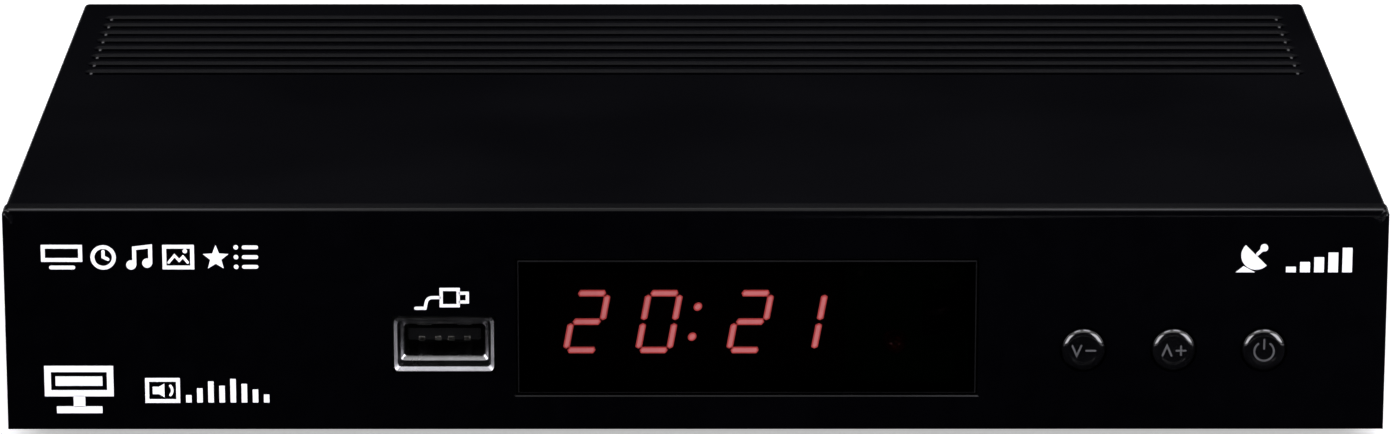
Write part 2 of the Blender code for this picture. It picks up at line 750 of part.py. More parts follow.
def bar(centre, length, upright_bar):
    """One bar of a digit: a long hexagon, leaning with the digit."""
    half = BAR_WIDTH / 2
    end = length / 2
    points = [
        (-end, 0),
        (half - end, -half),
        (end - half, -half),
        (end, 0),
        (end - half, half),
        (half - end, half),
    ]
    if upright_bar:
        points = [(-y, x) for x, y in points]
    placed = [(centre[0] + x, centre[1] + y) for x, y in points]
    return [(x + y * math.tan(DIGIT_SLANT), y) for x, y in placed]


def digit_bars(across, sides, levels):
    """The bars of one digit: uprights on the given sides and level bars at the given levels."""
    half_width = (DIGIT_WIDTH - BAR_WIDTH) / 2
    half_height = (DIGIT_HEIGHT - BAR_WIDTH) / 2
    upright_length = half_height - 2 * BAR_GAP
    level_length = 2 * half_width - 2 * BAR_GAP
    bars = []
    for side in sides:
        for part in (-1, 1):
            centre = (across + side * half_width, part * half_height / 2)
            bars.append(bar(centre, upright_length, True))
    for level in levels:
        bars.append(bar((across, level * half_height), level_length, False))
    return bars


def digit_outlines():
    """Every bar of the display, and the two dots of its colon, about the digits' centre height."""
    outlines = []
    for across in DIGITS_ACROSS:
        outlines += digit_bars(across, (-1, 1), (-1, 0, 1))
    outlines += digit_bars(ONE_ACROSS, (1,), ())
    for part in (-1, 1):
        height = part * COLON_SPREAD / 2
        centre = COLON_ACROSS + height * math.tan(DIGIT_SLANT)
        ring = []
        for step in range(SMALL_STEPS):
            angle = 2 * math.pi * step / SMALL_STEPS
            ring.append((centre + DOT_RADIUS * math.cos(angle), height + DOT_RADIUS * math.sin(angle)))
        outlines.append(ring)
    return outlines


def digit_module():
    """The LED module: a black housing with the bars standing a little proud of its front."""
    lean = DIGIT_HEIGHT / 2 * math.tan(DIGIT_SLANT)
    left = DIGITS_ACROSS[0] - DIGIT_WIDTH / 2 - lean - MODULE_MARGIN
    right = ONE_ACROSS + DIGIT_WIDTH / 2 + lean + MODULE_MARGIN
    front = MODULE_SETBACK + BAR_RISE
    module = block("digit_module", (left, right), (front, FRONT_SEAT), around(DIGIT_CENTRE, MODULE_HEIGHT))
    bars = upright("digit_bars", digit_outlines(), (MODULE_SETBACK, front + BAR_SINK), 0, DIGIT_CENTRE)
    fuse(module, bars)
    return finish(module, DIGIT_HOUSING)


def legs(name, across, height, places, start):
    """Wire legs that run back to the front board."""
    for index, place in enumerate(places):
        yield block(
            f"{name}_leg_{index}",
            around(across + place * LEG_PITCH, LEG_WIDTH),
            (start, FRONT_SEAT),
            around(height, LEG_WIDTH),
        )


def ir_receiver():
    back = RECEIVER_SETBACK + RECEIVER_DEPTH
    body = block(
        "ir_receiver",
        around(RECEIVER_ACROSS, RECEIVER_WIDTH),
        (RECEIVER_SETBACK, back),
        around(RECEIVER_CENTRE, RECEIVER_HEIGHT),
    )
    mesh = bmesh.new()
    rings = SMALL_STEPS // 2
    bmesh.ops.create_uvsphere(mesh, u_segments=SMALL_STEPS, v_segments=rings, radius=RECEIVER_DOME)
    fuse(body, piece("receiver_dome", mesh, at(RECEIVER_ACROSS, RECEIVER_SETBACK, RECEIVER_CENTRE)))
    fuse(body, *legs("receiver", RECEIVER_ACROSS, RECEIVER_CENTRE, (-1, 0, 1), back - LEG_WIDTH))
    return finish(body, LENS_BLACK)


def standby_led():
    rim = LAMP_RADIUS + LAMP_RIM
    shoulder = LAMP_LENGTH - LAMP_RIM_LENGTH
    profile = [(0, LAMP_LENGTH), (rim, LAMP_LENGTH), (rim, shoulder), (LAMP_RADIUS, shoulder)]
    for angle in reversed(quarter_steps(4)):
        profile.append((LAMP_RADIUS * math.sin(angle), LAMP_RADIUS * (1 - math.cos(angle))))
    place = at(LAMP_ACROSS, LAMP_SETBACK, LAMP_CENTRE)
    lamp = turned("standby_led", profile, place, (-QUARTER_TURN, 0, 0), SMALL_STEPS)
    fuse(lamp, *legs("lamp", LAMP_ACROSS, LAMP_CENTRE, (-1, 1), LAMP_SETBACK + LAMP_LENGTH - LEG_WIDTH))
    return finish(lamp, LAMP_RED)


def quarter_steps(count):
    """Angles from zero to a quarter turn."""
    return [QUARTER_TURN * step / count for step in range(count + 1)]


# Buttons, switches and the front board


def button(name, across):
    """A round button, its retaining flange and its stem. Its origin is on its axis, at the face."""
    edge = BUTTON_RADIUS - BUTTON_ROUND
    flange_end = FLANGE_SETBACK + FLANGE_THICKNESS
    profile = [
        (0, PLUNGER_TIP - CLEARANCE),
        (STEM_RADIUS, PLUNGER_TIP - CLEARANCE),
        (STEM_RADIUS, flange_end),
        (FLANGE_RADIUS, flange_end),
        (FLANGE_RADIUS, FLANGE_SETBACK),
        (BUTTON_RADIUS, FLANGE_SETBACK),
    ]
    for angle in quarter_steps(3):
        fall = BUTTON_ROUND * (1 - math.sin(angle))
        profile.append((edge + BUTTON_ROUND * math.cos(angle), fall - BUTTON_PROUD))
    profile.append((0, -BUTTON_PROUD))
    obj = turned(f"button_{name}", profile, at(across, 0, BUTTON_CENTRE), (-QUARTER_TURN, 0, 0))
    return finish(obj, GLOSS_BLACK)


def tact_switch(name, across):
    switch = block(
        f"tact_switch_{name}",
        around(across, SWITCH_SIZE),
        (SWITCH_FRONT, FRONT_SEAT),
        around(BUTTON_CENTRE, SWITCH_SIZE),
    )
    mouth = at(across, SWITCH_FRONT - OVERRUN, BUTTON_CENTRE)
    radius = PLUNGER_RADIUS + CLEARANCE
    cut(switch, rod(f"plunger_well_{name}", radius, mouth, PLUNGER_WELL + OVERRUN, "Y", SMALL_STEPS))
    return finish(switch, SWITCH_BLACK)


def tact_plunger(name, across):
    length = PLUNGER_PROUD + PLUNGER_SUNK
    start = at(across, PLUNGER_TIP, BUTTON_CENTRE)
    plunger = rod(f"tact_plunger_{name}", PLUNGER_RADIUS, start, length, "Y", SMALL_STEPS)
    return finish(plunger, CONNECTOR_CREAM)


def push_buttons():
    """Each button and the plunger behind it hang on one empty, which is what travels."""
    for name, across in zip(BUTTON_NAMES, BUTTONS_ACROSS):
        carrier = bpy.data.objects.new(f"travel_{name}", None)
        carrier.location = at(across, 0, BUTTON_CENTRE)
        PIECES.objects.link(carrier)
        for obj in (button(name, across), tact_plunger(name, across)):
            obj.parent = carrier
            obj.location = obj.location - carrier.location
        tact_switch(name, across)


def front_board():
    board = block(
        "front_board",
        (FRONT_BOARD_LEFT, FRONT_BOARD_RIGHT),
        (FRONT_BOARD_SETBACK, FRONT_BOARD_BACK),
        (FRONT_BOARD_BOTTOM, FRONT_BOARD_TOP),
    )
    for index, (across, height) in enumerate(front_boss_places()):
        start = at(across, FRONT_BOARD_SETBACK - OVERRUN, height)
        hole = FRONT_SCREW["shank"] + CLEARANCE
        length = FRONT_BOARD_THICKNESS + 2 * OVERRUN
        cut(board, rod(f"front_hole_{index}", hole, start, length, "Y", SMALL_STEPS))
        seat = at(across, FRONT_BOARD_BACK + CLEARANCE, height)
        screw(f"front_board_screw_{index + 1}", FRONT_SCREW, seat, (-QUARTER_TURN, 0, 0))
    return finish(board, BOARD_GREEN)


# USB socket


def usb_socket():
    back = USB_SETBACK + USB_LENGTH
    shell = block(
        "usb_shell",
        around(USB_ACROSS, USB_WIDTH),
        (USB_SETBACK, back),
        around(USB_CENTRE, USB_HEIGHT),
    )
    flare = block(
        "usb_flare",
        around(USB_ACROSS, USB_FLARE_WIDTH),
        (USB_SETBACK, USB_SETBACK + USB_FLARE_THICKNESS),
        around(USB_CENTRE, USB_FLARE_HEIGHT),
    )
    inner_width = USB_WIDTH - 2 * USB_SHEET
    inner_height = USB_HEIGHT - 2 * USB_SHEET
    inside = block(
        "usb_inside",
        around(USB_ACROSS, inner_width),
        (USB_SETBACK - OVERRUN, back + OVERRUN),
        around(USB_CENTRE, inner_height),
    )
    fuse(shell, flare)
    cut(shell, inside)
    finish(shell, BRIGHT_STEEL)
    seat = block(
        "usb_tongue",
        around(USB_ACROSS, inner_width - 2 * CLEARANCE),
        (back - USB_BLOCK_LENGTH, back - CLEARANCE),
        around(USB_CENTRE, inner_height - 2 * CLEARANCE),
    )
    ceiling = USB_CENTRE + inner_height / 2 - USB_TONGUE_DROP
    tongue = block(
        "usb_blade",
        around(USB_ACROSS, USB_TONGUE_WIDTH),
        (USB_SETBACK + USB_TONGUE_SETBACK, back - USB_BLOCK_LENGTH / 2),
        (ceiling - USB_TONGUE_THICKNESS, ceiling),
    )
    fuse(seat, tongue)
    finish(seat, SOCKET_BLACK)


# Main board and what stands on it


def board_screw_places():
    """The main board's four screws: two at the front, one ahead of the power jack, one by the tuner."""
    front = BOARD_SHELF + BOARD_SCREW_MARGIN
    return (
        (BOARD_SCREW_INSET - BOARD_SIDE, front),
        (READER_LEFT - BOARD_SCREW_MARGIN, front),
        ((POWER_ACROSS + HDMI_ACROSS) / 2, SOCKET_END - POWER_LENGTH - BOARD_SCREW_MARGIN),
        (TUNER_LEFT - BOARD_SCREW_MARGIN, TUNER_FRONT + BOARD_SCREW_MARGIN),
    )


def main_board():
    outline = [
        (-BOARD_SIDE, BOARD_FRONT),
        (BOARD_NOTCH, BOARD_FRONT),
        (BOARD_NOTCH, BOARD_SHELF),
        (BOARD_SIDE, BOARD_SHELF),
        (BOARD_SIDE, BOARD_REAR),
        (-BOARD_SIDE, BOARD_REAR),
    ]
    board = flat_shape("main_board", [outline], BOARD_THICKNESS, at(0, 0, (BOARD_BOTTOM + DECK) / 2))
    for index, (across, behind) in enumerate(board_screw_places()):
        hole = BOARD_SCREW["shank"] + CLEARANCE
        start = at(across, behind, BOARD_BOTTOM - OVERRUN)
        cut(board, rod(f"board_hole_{index}", hole, start, BOARD_THICKNESS + 2 * OVERRUN, steps=SMALL_STEPS))
        screw(f"board_screw_{index + 1}", BOARD_SCREW, at(across, behind, SEAT), (0, 0, 0))
    return finish(board, BOARD_GREEN)


def chip(name, across, behind, width, depth, thickness):
    """A flat black package that lies on the main board."""
    body = block(name, around(across, width), around(behind, depth), (SEAT, SEAT + thickness))
    return finish(soften(body, CHIP_EDGE, 1), CHIP_BLACK)


def chips():
    chip("processor", 0, PROCESSOR_BEHIND, PROCESSOR_SIZE, PROCESSOR_SIZE, PROCESSOR_THICKNESS)
    left = -(SINK_SIZE + MEMORY_WIDTH) / 2 - MEMORY_GAP
    for index, part in enumerate((-1, 1)):
        behind = PROCESSOR_BEHIND + part * MEMORY_PITCH / 2
        chip(f"memory_chip_{index + 1}", left, behind, MEMORY_WIDTH, MEMORY_DEPTH, MEMORY_THICKNESS)
    chip("flash_chip", 0, flash_behind(), FLASH_WIDTH, FLASH_DEPTH, MEMORY_THICKNESS)


def flash_behind():
    """How far back the middle of the flash chip and the crystal lie: just behind the heat sink."""
    return PROCESSOR_BEHIND + (SINK_SIZE + FLASH_DEPTH) / 2 + FLASH_GAP


def heat_sink():
    bottom = SEAT + PROCESSOR_THICKNESS + CLEARANCE
    top = bottom + SINK_BASE + SINK_FIN_HEIGHT
    sink = block("heat_sink", around(0, SINK_SIZE), around(PROCESSOR_BEHIND, SINK_SIZE), (bottom, top))
    pitch = SINK_SIZE / (SINK_FINS - SINK_FIN_SHARE)
    channel = pitch * (1 - SINK_FIN_SHARE)
    first = -(SINK_FINS - 2) / 2
    channels = []
    for index in range(SINK_FINS - 1):
        across = around((first + index) * pitch, channel)
        behind = around(PROCESSOR_BEHIND, SINK_SIZE + 2 * OVERRUN)
        channels.append((across, behind, (bottom + SINK_BASE, top + OVERRUN)))
    cut(sink, blocks("sink_channels", channels))
    return finish(sink, SINK_GREY)


def capacitor(name, across, behind):
    """An upright electrolytic capacitor, with the crimp that runs round its foot."""
    rim = CAPACITOR_RIM
    top = CAPACITOR_HEIGHT
    profile = [
        (0, top),
        (CAPACITOR_RADIUS - rim, top),
        (CAPACITOR_RADIUS, top - rim),
        (CAPACITOR_RADIUS, 4 * rim),
        (CAPACITOR_RADIUS - rim, 3 * rim),
        (CAPACITOR_RADIUS, 2 * rim),
        (CAPACITOR_RADIUS, 0),
        (0, 0),
    ]
    return finish(turned(name, profile, at(across, behind, SEAT), steps=SMALL_STEPS), CAN_SLEEVE)


def power_parts():
    """The capacitors and the inductor of the power supply, behind the power jack."""
    for index in range(3):
        across = POWER_ACROSS + index * CAPACITOR_PITCH
        capacitor(f"capacitor_{index + 1}", across, BOARD_REAR - CAPACITOR_SETBACK)
    inductor = block(
        "power_inductor",
        around(POWER_ACROSS + CAPACITOR_PITCH, INDUCTOR_SIZE),
        around(BOARD_REAR - INDUCTOR_SETBACK, INDUCTOR_SIZE),
        (SEAT, SEAT + INDUCTOR_HEIGHT),
    )
    finish(soften(inductor, INDUCTOR_EDGE, 1), FERRITE)
    crystal = block(
        "crystal",
        around(-(FLASH_WIDTH + CRYSTAL_WIDTH) / 2 - CRYSTAL_GAP, CRYSTAL_WIDTH),
        around(flash_behind(), CRYSTAL_DEPTH),
        (SEAT, SEAT + CRYSTAL_HEIGHT),
    )
    finish(soften(crystal, CRYSTAL_EDGE, 2), NICKEL)


def card_reader():
    """The smart-card reader, open towards the slot in the cover's side."""
    reader = block(
        "card_reader",
        (READER_LEFT, READER_RIGHT),
        (READER_SETBACK, READER_REAR),
        (SEAT, SEAT + READER_HEIGHT),
    )
    slot = block(
        "card_space",
        (READER_RIGHT - READER_SLOT_DEPTH, READER_RIGHT + OVERRUN),
        (READER_SETBACK + READER_WALL, READER_REAR - READER_WALL),
        (SEAT + READER_SLOT_RISE, SEAT + READER_SLOT_RISE + READER_SLOT_HEIGHT),
    )
    cut(reader, slot)
    return finish(reader, GALVANISED)


def ribbon_path():
    """The ribbon seen from the side: back from the front board, round, and down to the main board."""
    start = FRONT_BOARD_BACK + CLEARANCE + SOCKET_DEPTH + CLEARANCE
    bend = start + RIBBON_RUN
    centre_height = RIBBON_HEIGHT - RIBBON_RADIUS
    bottom = SEAT + SOCKET_HEIGHT + CLEARANCE
    sides = []
    for half in (RIBBON_THICKNESS / 2, -RIBBON_THICKNESS / 2):
        radius = RIBBON_RADIUS + half
        arc = [QUARTER_TURN * step / RIBBON_ARC_STEPS for step in range(RIBBON_ARC_STEPS + 1)]
        curve = [(bend + radius * math.sin(a), centre_height + radius * math.cos(a)) for a in arc]
        sides.append([(start, RIBBON_HEIGHT + half), *curve, (bend + radius, bottom)])
    return sides[0] + sides[1][::-1], bend + RIBBON_RADIUS


def front_ribbon():
    """The flat cable and the sockets at its two ends."""
    outline, landing = ribbon_path()
    turn = (QUARTER_TURN, 0, QUARTER_TURN)
    ribbon = flat_shape("front_ribbon", [outline], RIBBON_WIDTH, at(RIBBON_ACROSS, 0, 0), turn)
    finish(ribbon, RIBBON_GREY)
    across = around(RIBBON_ACROSS, SOCKET_WIDTH)
    front = FRONT_BOARD_BACK + CLEARANCE
    behind = (front, front + SOCKET_DEPTH)
    upper = block("ribbon_socket_front", across, behind, around(RIBBON_HEIGHT, SOCKET_HEIGHT))
    finish(upper, CONNECTOR_CREAM)
    height = (SEAT, SEAT + SOCKET_HEIGHT)
    lower = block("ribbon_socket_main", across, around(landing, SOCKET_DEPTH), height)
    finish(lower, CONNECTOR_CREAM)


# Rear sockets


def tuner_can():
    """The tuner's screening can: a folded lid, open towards the board, with a hole for each connector."""
    can = block(
        "tuner_can",
        (TUNER_LEFT, TUNER_RIGHT),
        (TUNER_FRONT, TUNER_REAR),
        (SEAT, SEAT + TUNER_HEIGHT),
    )
    soften(can, TUNER_EDGE, 1)
    inside = block(
        "tuner_inside",
        (TUNER_LEFT + TUNER_SHEET, TUNER_RIGHT - TUNER_SHEET),
        (TUNER_FRONT + TUNER_SHEET, TUNER_REAR - TUNER_SHEET),
        (SEAT - OVERRUN, SEAT + TUNER_HEIGHT - TUNER_SHEET),
    )
    cut(can, inside)
    for name, across in coax_places():
        start = at(across, TUNER_REAR - TUNER_SHEET - OVERRUN, COAX_CENTRE)
        radius = COAX_STUB_RADIUS + CLEARANCE
        cut(can, rod(f"tuner_hole_{name}", radius, start, TUNER_SHEET + 2 * OVERRUN, "Y"))
    vents = []
    first = TUNER_CENTRE - VENT_PITCH * (TUNER_VENT_COUNT - 1) / 2
    for index in range(TUNER_VENT_COUNT):
        across = around(first + index * VENT_PITCH, VENT_WIDTH)
        behind = around((TUNER_FRONT + TUNER_REAR) / 2, TUNER_DEPTH / 2)
        top = SEAT + TUNER_HEIGHT
        vents.append((across, behind, (top - TUNER_SHEET - OVERRUN, top + OVERRUN)))
    cut(can, blocks("tuner_vents", vents))
    return finish(can, GALVANISED)


def coax_places():
    return ("in", TUNER_CENTRE + COAX_PITCH / 2), ("out", TUNER_CENTRE - COAX_PITCH / 2)


def f_connector(name, across):
    """A threaded aerial connector: stub in the can, shoulder behind the plate, barrel outside."""
    tip = COAX_END - SHOULDER_FRONT
    profile = [
        (0, tip - COAX_WELL_DEPTH - COAX_PIN_DEPTH),
        (COAX_PIN_RADIUS, tip - COAX_WELL_DEPTH - COAX_PIN_DEPTH),
        (COAX_PIN_RADIUS, tip - COAX_WELL_DEPTH),
        (COAX_WELL_RADIUS, tip - COAX_WELL_DEPTH),
        (COAX_WELL_RADIUS, tip),
        (COAX_RADIUS - COAX_CHAMFER, tip),
        (COAX_RADIUS, tip - COAX_CHAMFER),
        (COAX_RADIUS, COAX_SHOULDER_THICKNESS),
        (COAX_SHOULDER_RADIUS, COAX_SHOULDER_THICKNESS),
        (COAX_SHOULDER_RADIUS, 0),
        (COAX_STUB_RADIUS, 0),
        (COAX_STUB_RADIUS, -COAX_STUB_LENGTH),
        (0, -COAX_STUB_LENGTH),
    ]
    place = at(across, SHOULDER_FRONT, COAX_CENTRE)
    return finish(turned(f"f_connector_{name}", profile, place, (-QUARTER_TURN, 0, 0)), NICKEL)


def f_nut(name, across):
    """The hexagonal nut that clamps the connector to the rear plate."""
    start = at(across, PLATE_BACK + CLEARANCE, COAX_CENTRE)
    nut = rod(f"f_nut_{name}", NUT_FLATS / math.sqrt(3), start, NUT_THICKNESS, "Y", 6)
    bore = at(across, PLATE_BACK, COAX_CENTRE)
    cut(nut, rod(f"nut_bore_{name}", COAX_RADIUS + CLEARANCE, bore, NUT_THICKNESS + OVERRUN, "Y"))
    return finish(nut, NICKEL)


def d_outline(inset):
    """The HDMI shell's outline, drawn in by the inset: square above, tapered below."""
    half = HDMI_WIDTH / 2 - inset
    top = HDMI_HEIGHT / 2 - inset
    low = half - HDMI_TAPER
    shoulder = HDMI_HEIGHT / 2 - HDMI_SHOULDER
    return [(low, -top), (half, shoulder), (half, top), (-half, top), (-half, shoulder), (-low, -top)]


def hdmi_socket():
    centre = SEAT + HDMI_HEIGHT / 2
    front = SOCKET_END - HDMI_LENGTH
    shell = upright("hdmi_shell", [d_outline(0)], (front, SOCKET_END), HDMI_ACROSS, centre)
    inner_ends = (front - OVERRUN, SOCKET_END + OVERRUN)
    cut(shell, upright("hdmi_inside", [d_outline(HDMI_SHEET)], inner_ends, HDMI_ACROSS, centre))
    finish(shell, BRIGHT_STEEL)
    block_ends = (front + CLEARANCE, front + HDMI_BLOCK_LENGTH)
    tongue = upright("hdmi_tongue", [d_outline(HDMI_SHEET + CLEARANCE)], block_ends, HDMI_ACROSS, centre)
    blade = block(
        "hdmi_blade",
        around(HDMI_ACROSS, HDMI_TONGUE_WIDTH),
        (front + HDMI_BLOCK_LENGTH / 2, SOCKET_END - HDMI_TONGUE_SETBACK),
        around(centre, HDMI_TONGUE_THICKNESS),
    )
    fuse(tongue, blade)
    finish(tongue, SOCKET_BLACK)


def scart_outline(inset):
    """The SCART shroud's outline, drawn in by the inset: one short side leans."""
    half = SCART_WIDTH / 2 - inset
    top = SCART_HEIGHT / 2 - inset
    return [(-half, -top), (half - SCART_SKEW, -top), (half, top), (-half, top)]


def scart_socket():
    centre = SEAT + SCART_HEIGHT / 2
    mouth = SOCKET_END
    back = mouth - SCART_SHROUD_DEPTH - SCART_BODY_LENGTH
    socket = upright("scart_socket", [scart_outline(0)], (back, mouth), SCART_ACROSS, centre)
    ends = (mouth - SCART_SHROUD_DEPTH, mouth + OVERRUN)
    ring = upright("scart_ring", [scart_outline(SCART_SHROUD_WALL)], ends, SCART_ACROSS, centre)
    core_ends = (mouth - SCART_SHROUD_DEPTH - OVERRUN, mouth + 2 * OVERRUN)
    core_outline = scart_outline(SCART_SHROUD_WALL + SCART_GAP)
    core = upright("scart_core", [core_outline], core_ends, SCART_ACROSS, centre)
    cut(ring, core)
    cut(socket, ring)
    slots = []
    first = -SCART_CONTACT_PITCH * (SCART_CONTACTS_PER_ROW - 1) / 2 - SCART_SKEW / 4
    sunk = (mouth - SCART_CONTACT_DEPTH, mouth + OVERRUN)
    for row in (-1, 1):
        for index in range(SCART_CONTACTS_PER_ROW):
            stagger = row * SCART_STAGGER_SHARE * SCART_CONTACT_PITCH
            across = SCART_ACROSS + first + index * SCART_CONTACT_PITCH + stagger
            height = around(centre + row * SCART_ROW_SPREAD / 2, SCART_CONTACT_HEIGHT)
            slots.append((around(across, SCART_CONTACT_WIDTH), sunk, height))
    cut(socket, blocks("scart_slots", slots))
    return finish(socket, SOCKET_BLACK)


def digital_audio_jack():
    front = PLATE_FRONT - CLEARANCE
    jack = block(
        "digital_audio_jack",
        around(AUDIO_ACROSS, AUDIO_WIDTH),
        (front - AUDIO_LENGTH, front),
        (SEAT, SEAT + AUDIO_HEIGHT),
    )
    end = PLATE_BACK + AUDIO_SLEEVE_REACH
    sleeve = at(AUDIO_ACROSS, front - OVERRUN, AUDIO_CENTRE)
    fuse(jack, rod("audio_sleeve", AUDIO_SLEEVE_RADIUS, sleeve, end - front + OVERRUN, "Y"))
    bore = at(AUDIO_ACROSS, end - AUDIO_BORE_DEPTH, AUDIO_CENTRE)
    cut(jack, rod("audio_bore", AUDIO_BORE_RADIUS, bore, AUDIO_BORE_DEPTH + OVERRUN, "Y", SMALL_STEPS))
    return finish(jack, JACK_ORANGE)


def dc_jack():
    centre = SEAT + POWER_HEIGHT / 2
    jack = block(
        "dc_jack",
        around(POWER_ACROSS, POWER_WIDTH),
        (SOCKET_END - POWER_LENGTH, SOCKET_END),
        (SEAT, SEAT + POWER_HEIGHT),
    )
    floor = SOCKET_END - POWER_BORE_DEPTH
    bore = at(POWER_ACROSS, floor, centre)
    cut(jack, rod("power_bore", POWER_BORE_RADIUS, bore, POWER_BORE_DEPTH + OVERRUN, "Y"))
    pin = at(POWER_ACROSS, floor - OVERRUN, centre)
    length = POWER_BORE_DEPTH - POWER_PIN_SETBACK + OVERRUN
    fuse(jack, rod("power_pin", POWER_PIN_RADIUS, pin, length, "Y", SMALL_STEPS))
    return finish(jack, SOCKET_BLACK)


def rear_panel():
    """The thin steel plate that the rear sockets pass through."""
    bottom = TRAY_FLOOR - PLATE_GROOVE + CLEARANCE
    side = SHELL_INNER - CLEARANCE
    plate = block("rear_panel", (-side, side), (PLATE_FRONT, PLATE_BACK), (bottom, CEILING - CLEARANCE))
    through = (PLATE_FRONT - OVERRUN, PLATE_BACK + OVERRUN)
    openings = []
    for across, width, height in (
        (POWER_ACROSS, POWER_WIDTH, POWER_HEIGHT),
        (HDMI_ACROSS, HDMI_WIDTH, HDMI_HEIGHT),
        (SCART_ACROSS, SCART_WIDTH, SCART_HEIGHT),
    ):
        tall = (SEAT - CUT_MARGIN, SEAT + height + CUT_MARGIN)
        openings.append((around(across, width + 2 * CUT_MARGIN), through, tall))
    first = SCART_ACROSS - SCART_WIDTH / 2 - VENT_PITCH * PLATE_VENT_COUNT
    vent_top = CEILING - PLATE_VENT_DROP
    for index in range(PLATE_VENT_COUNT):
        across = around(first + index * VENT_PITCH, VENT_WIDTH)
        openings.append((across, through, (vent_top - PLATE_VENT_HEIGHT, vent_top)))
    cut(plate, blocks("plate_openings", openings))
    holes = [("audio", AUDIO_ACROSS, AUDIO_CENTRE, AUDIO_SLEEVE_RADIUS + CUT_MARGIN)]
    holes += [(name, across, COAX_CENTRE, COAX_RADIUS + CLEARANCE) for name, across in coax_places()]
    for name, across, height, radius in holes:
        start = at(across, PLATE_FRONT - OVERRUN, height)
        cut(plate, rod(f"plate_hole_{name}", radius, start, PLATE_THICKNESS + 2 * OVERRUN, "Y"))
    return finish(plate, GALVANISED)


# Housing shells


def post_places():
    """The four corners where a screw goes up through the tray into the cover."""
    side = SHELL_INNER - POST_INSET
    rear = BODY_DEPTH - POST_REAR_MARGIN
    return (-side, POST_FRONT), (side, POST_FRONT), (-side, rear), (side, rear)


def folded_shell(name, height, open_side, edge, segments):
    """A housing shell: one level wall and two side walls of one thickness, its outer folds rounded."""
    low = at(-SHELL_SIDE, SHELL_FRONT, height[0])
    high = at(SHELL_SIDE, BODY_DEPTH, height[1])
    mesh = bmesh.new()
    bmesh.ops.create_cube(mesh, size=1, matrix=Matrix.Diagonal((*(high - low), 1)))
    mesh.normal_update()
    gone = [face for face in mesh.faces if face.normal.y or face.normal.z * open_side > 0]
    bmesh.ops.delete(mesh, geom=gone, context="FACES")
    shell = piece(name, mesh, (low + high) / 2)
    walls = shell.modifiers.new("wall", "SOLIDIFY")
    walls.thickness = SHELL_WALL
    walls.offset = -1
    walls.use_even_offset = True
    walls.bevel_convex = 1
    folds = shell.modifiers.new("rounded folds", "BEVEL")
    folds.width = edge
    folds.segments = segments
    folds.limit_method = "WEIGHT"
    return shell


def groove_outline(length, width):
    """A long slot with round ends, about its centre."""
    radius = width / 2
    straight = length / 2 - radius
    points = []
    for side in (1, -1):
        for step in range(GROOVE_END_STEPS + 1):
            angle = math.pi * (step / GROOVE_END_STEPS - 0.5)
            x = side * (straight + radius * math.cos(angle))
            points.append((x, side * radius * math.sin(angle)))
    return points


def groove_places():
    """How far behind the face the middle of each groove lies, from the rear forwards."""
    rear = BODY_DEPTH - GROOVE_REAR_MARGIN - GROOVE_WIDTH / 2
    return [rear - index * GROOVE_PITCH for index in range(GROOVE_COUNT)]


def cover_grooves(cover):
    """The long grooves across the rear of the top, each with a row of slots through its floor."""
    length = 2 * (SHELL_SIDE - GROOVE_SIDE_MARGIN)
    floor = COVER_TOP - GROOVE_DEPTH
    slot_length = (length - SLOT_BRIDGE * (SLOT_COUNT + 1)) / SLOT_COUNT
    step = slot_length + SLOT_BRIDGE
    first = -(SLOT_COUNT - 1) * step / 2
    slots = []
    for index, behind in enumerate(groove_places()):
        outline = groove_outline(length, GROOVE_WIDTH)
        depth = GROOVE_DEPTH + OVERRUN
        groove = flat_shape(f"groove_{index}", [outline], depth, at(0, behind, floor + depth / 2))
        cut(cover, groove)
        for part in range(SLOT_COUNT):
            across = around(first + part * step, slot_length)
            slots.append((across, around(behind, SLOT_WIDTH), (CEILING - OVERRUN, floor + OVERRUN / 2)))
    cut(cover, blocks("cover_slots", slots))


def cover_openings():
    """Vents in the left side and the card slot in the right side."""
    left = (-SHELL_SIDE - OVERRUN, -SHELL_INNER + OVERRUN)
    bottom = COVER_BOTTOM + SIDE_VENT_RISE
    openings = []
    for index in range(SIDE_VENT_COUNT):
        behind = around(SIDE_VENT_SETBACK + index * VENT_PITCH, VENT_WIDTH)
        openings.append((left, behind, (bottom, bottom + SIDE_VENT_HEIGHT)))
    right = (SHELL_INNER - OVERRUN, SHELL_SIDE + OVERRUN)
    slot_bottom = SEAT + READER_SLOT_RISE - CARD_SLOT_MARGIN
    slot_top = slot_bottom + READER_SLOT_HEIGHT + 2 * CARD_SLOT_MARGIN
    openings.append((right, (READER_SETBACK, READER_REAR), (slot_bottom, slot_top)))
    return blocks("cover_openings", openings)


def top_cover():
    cover = folded_shell("top_cover", (COVER_BOTTOM, COVER_TOP), -1, COVER_EDGE, COVER_EDGE_STEPS)
    bore = COVER_SCREW["shank"] + CLEARANCE
    post_height = CEILING - COVER_BOTTOM + OVERRUN
    for index, (across, behind) in enumerate(post_places()):
        start = at(across, behind, COVER_BOTTOM)
        fuse(cover, rod(f"post_{index}", POST_RADIUS, start, post_height, steps=SMALL_STEPS))
        hole = at(across, behind, COVER_BOTTOM - OVERRUN)
        cut(cover, rod(f"post_hole_{index}", bore, hole, POST_HOLE_DEPTH + OVERRUN, steps=SMALL_STEPS))
    cover_grooves(cover)
    cut(cover, cover_openings())
    return finish(cover, SATIN_BLACK)


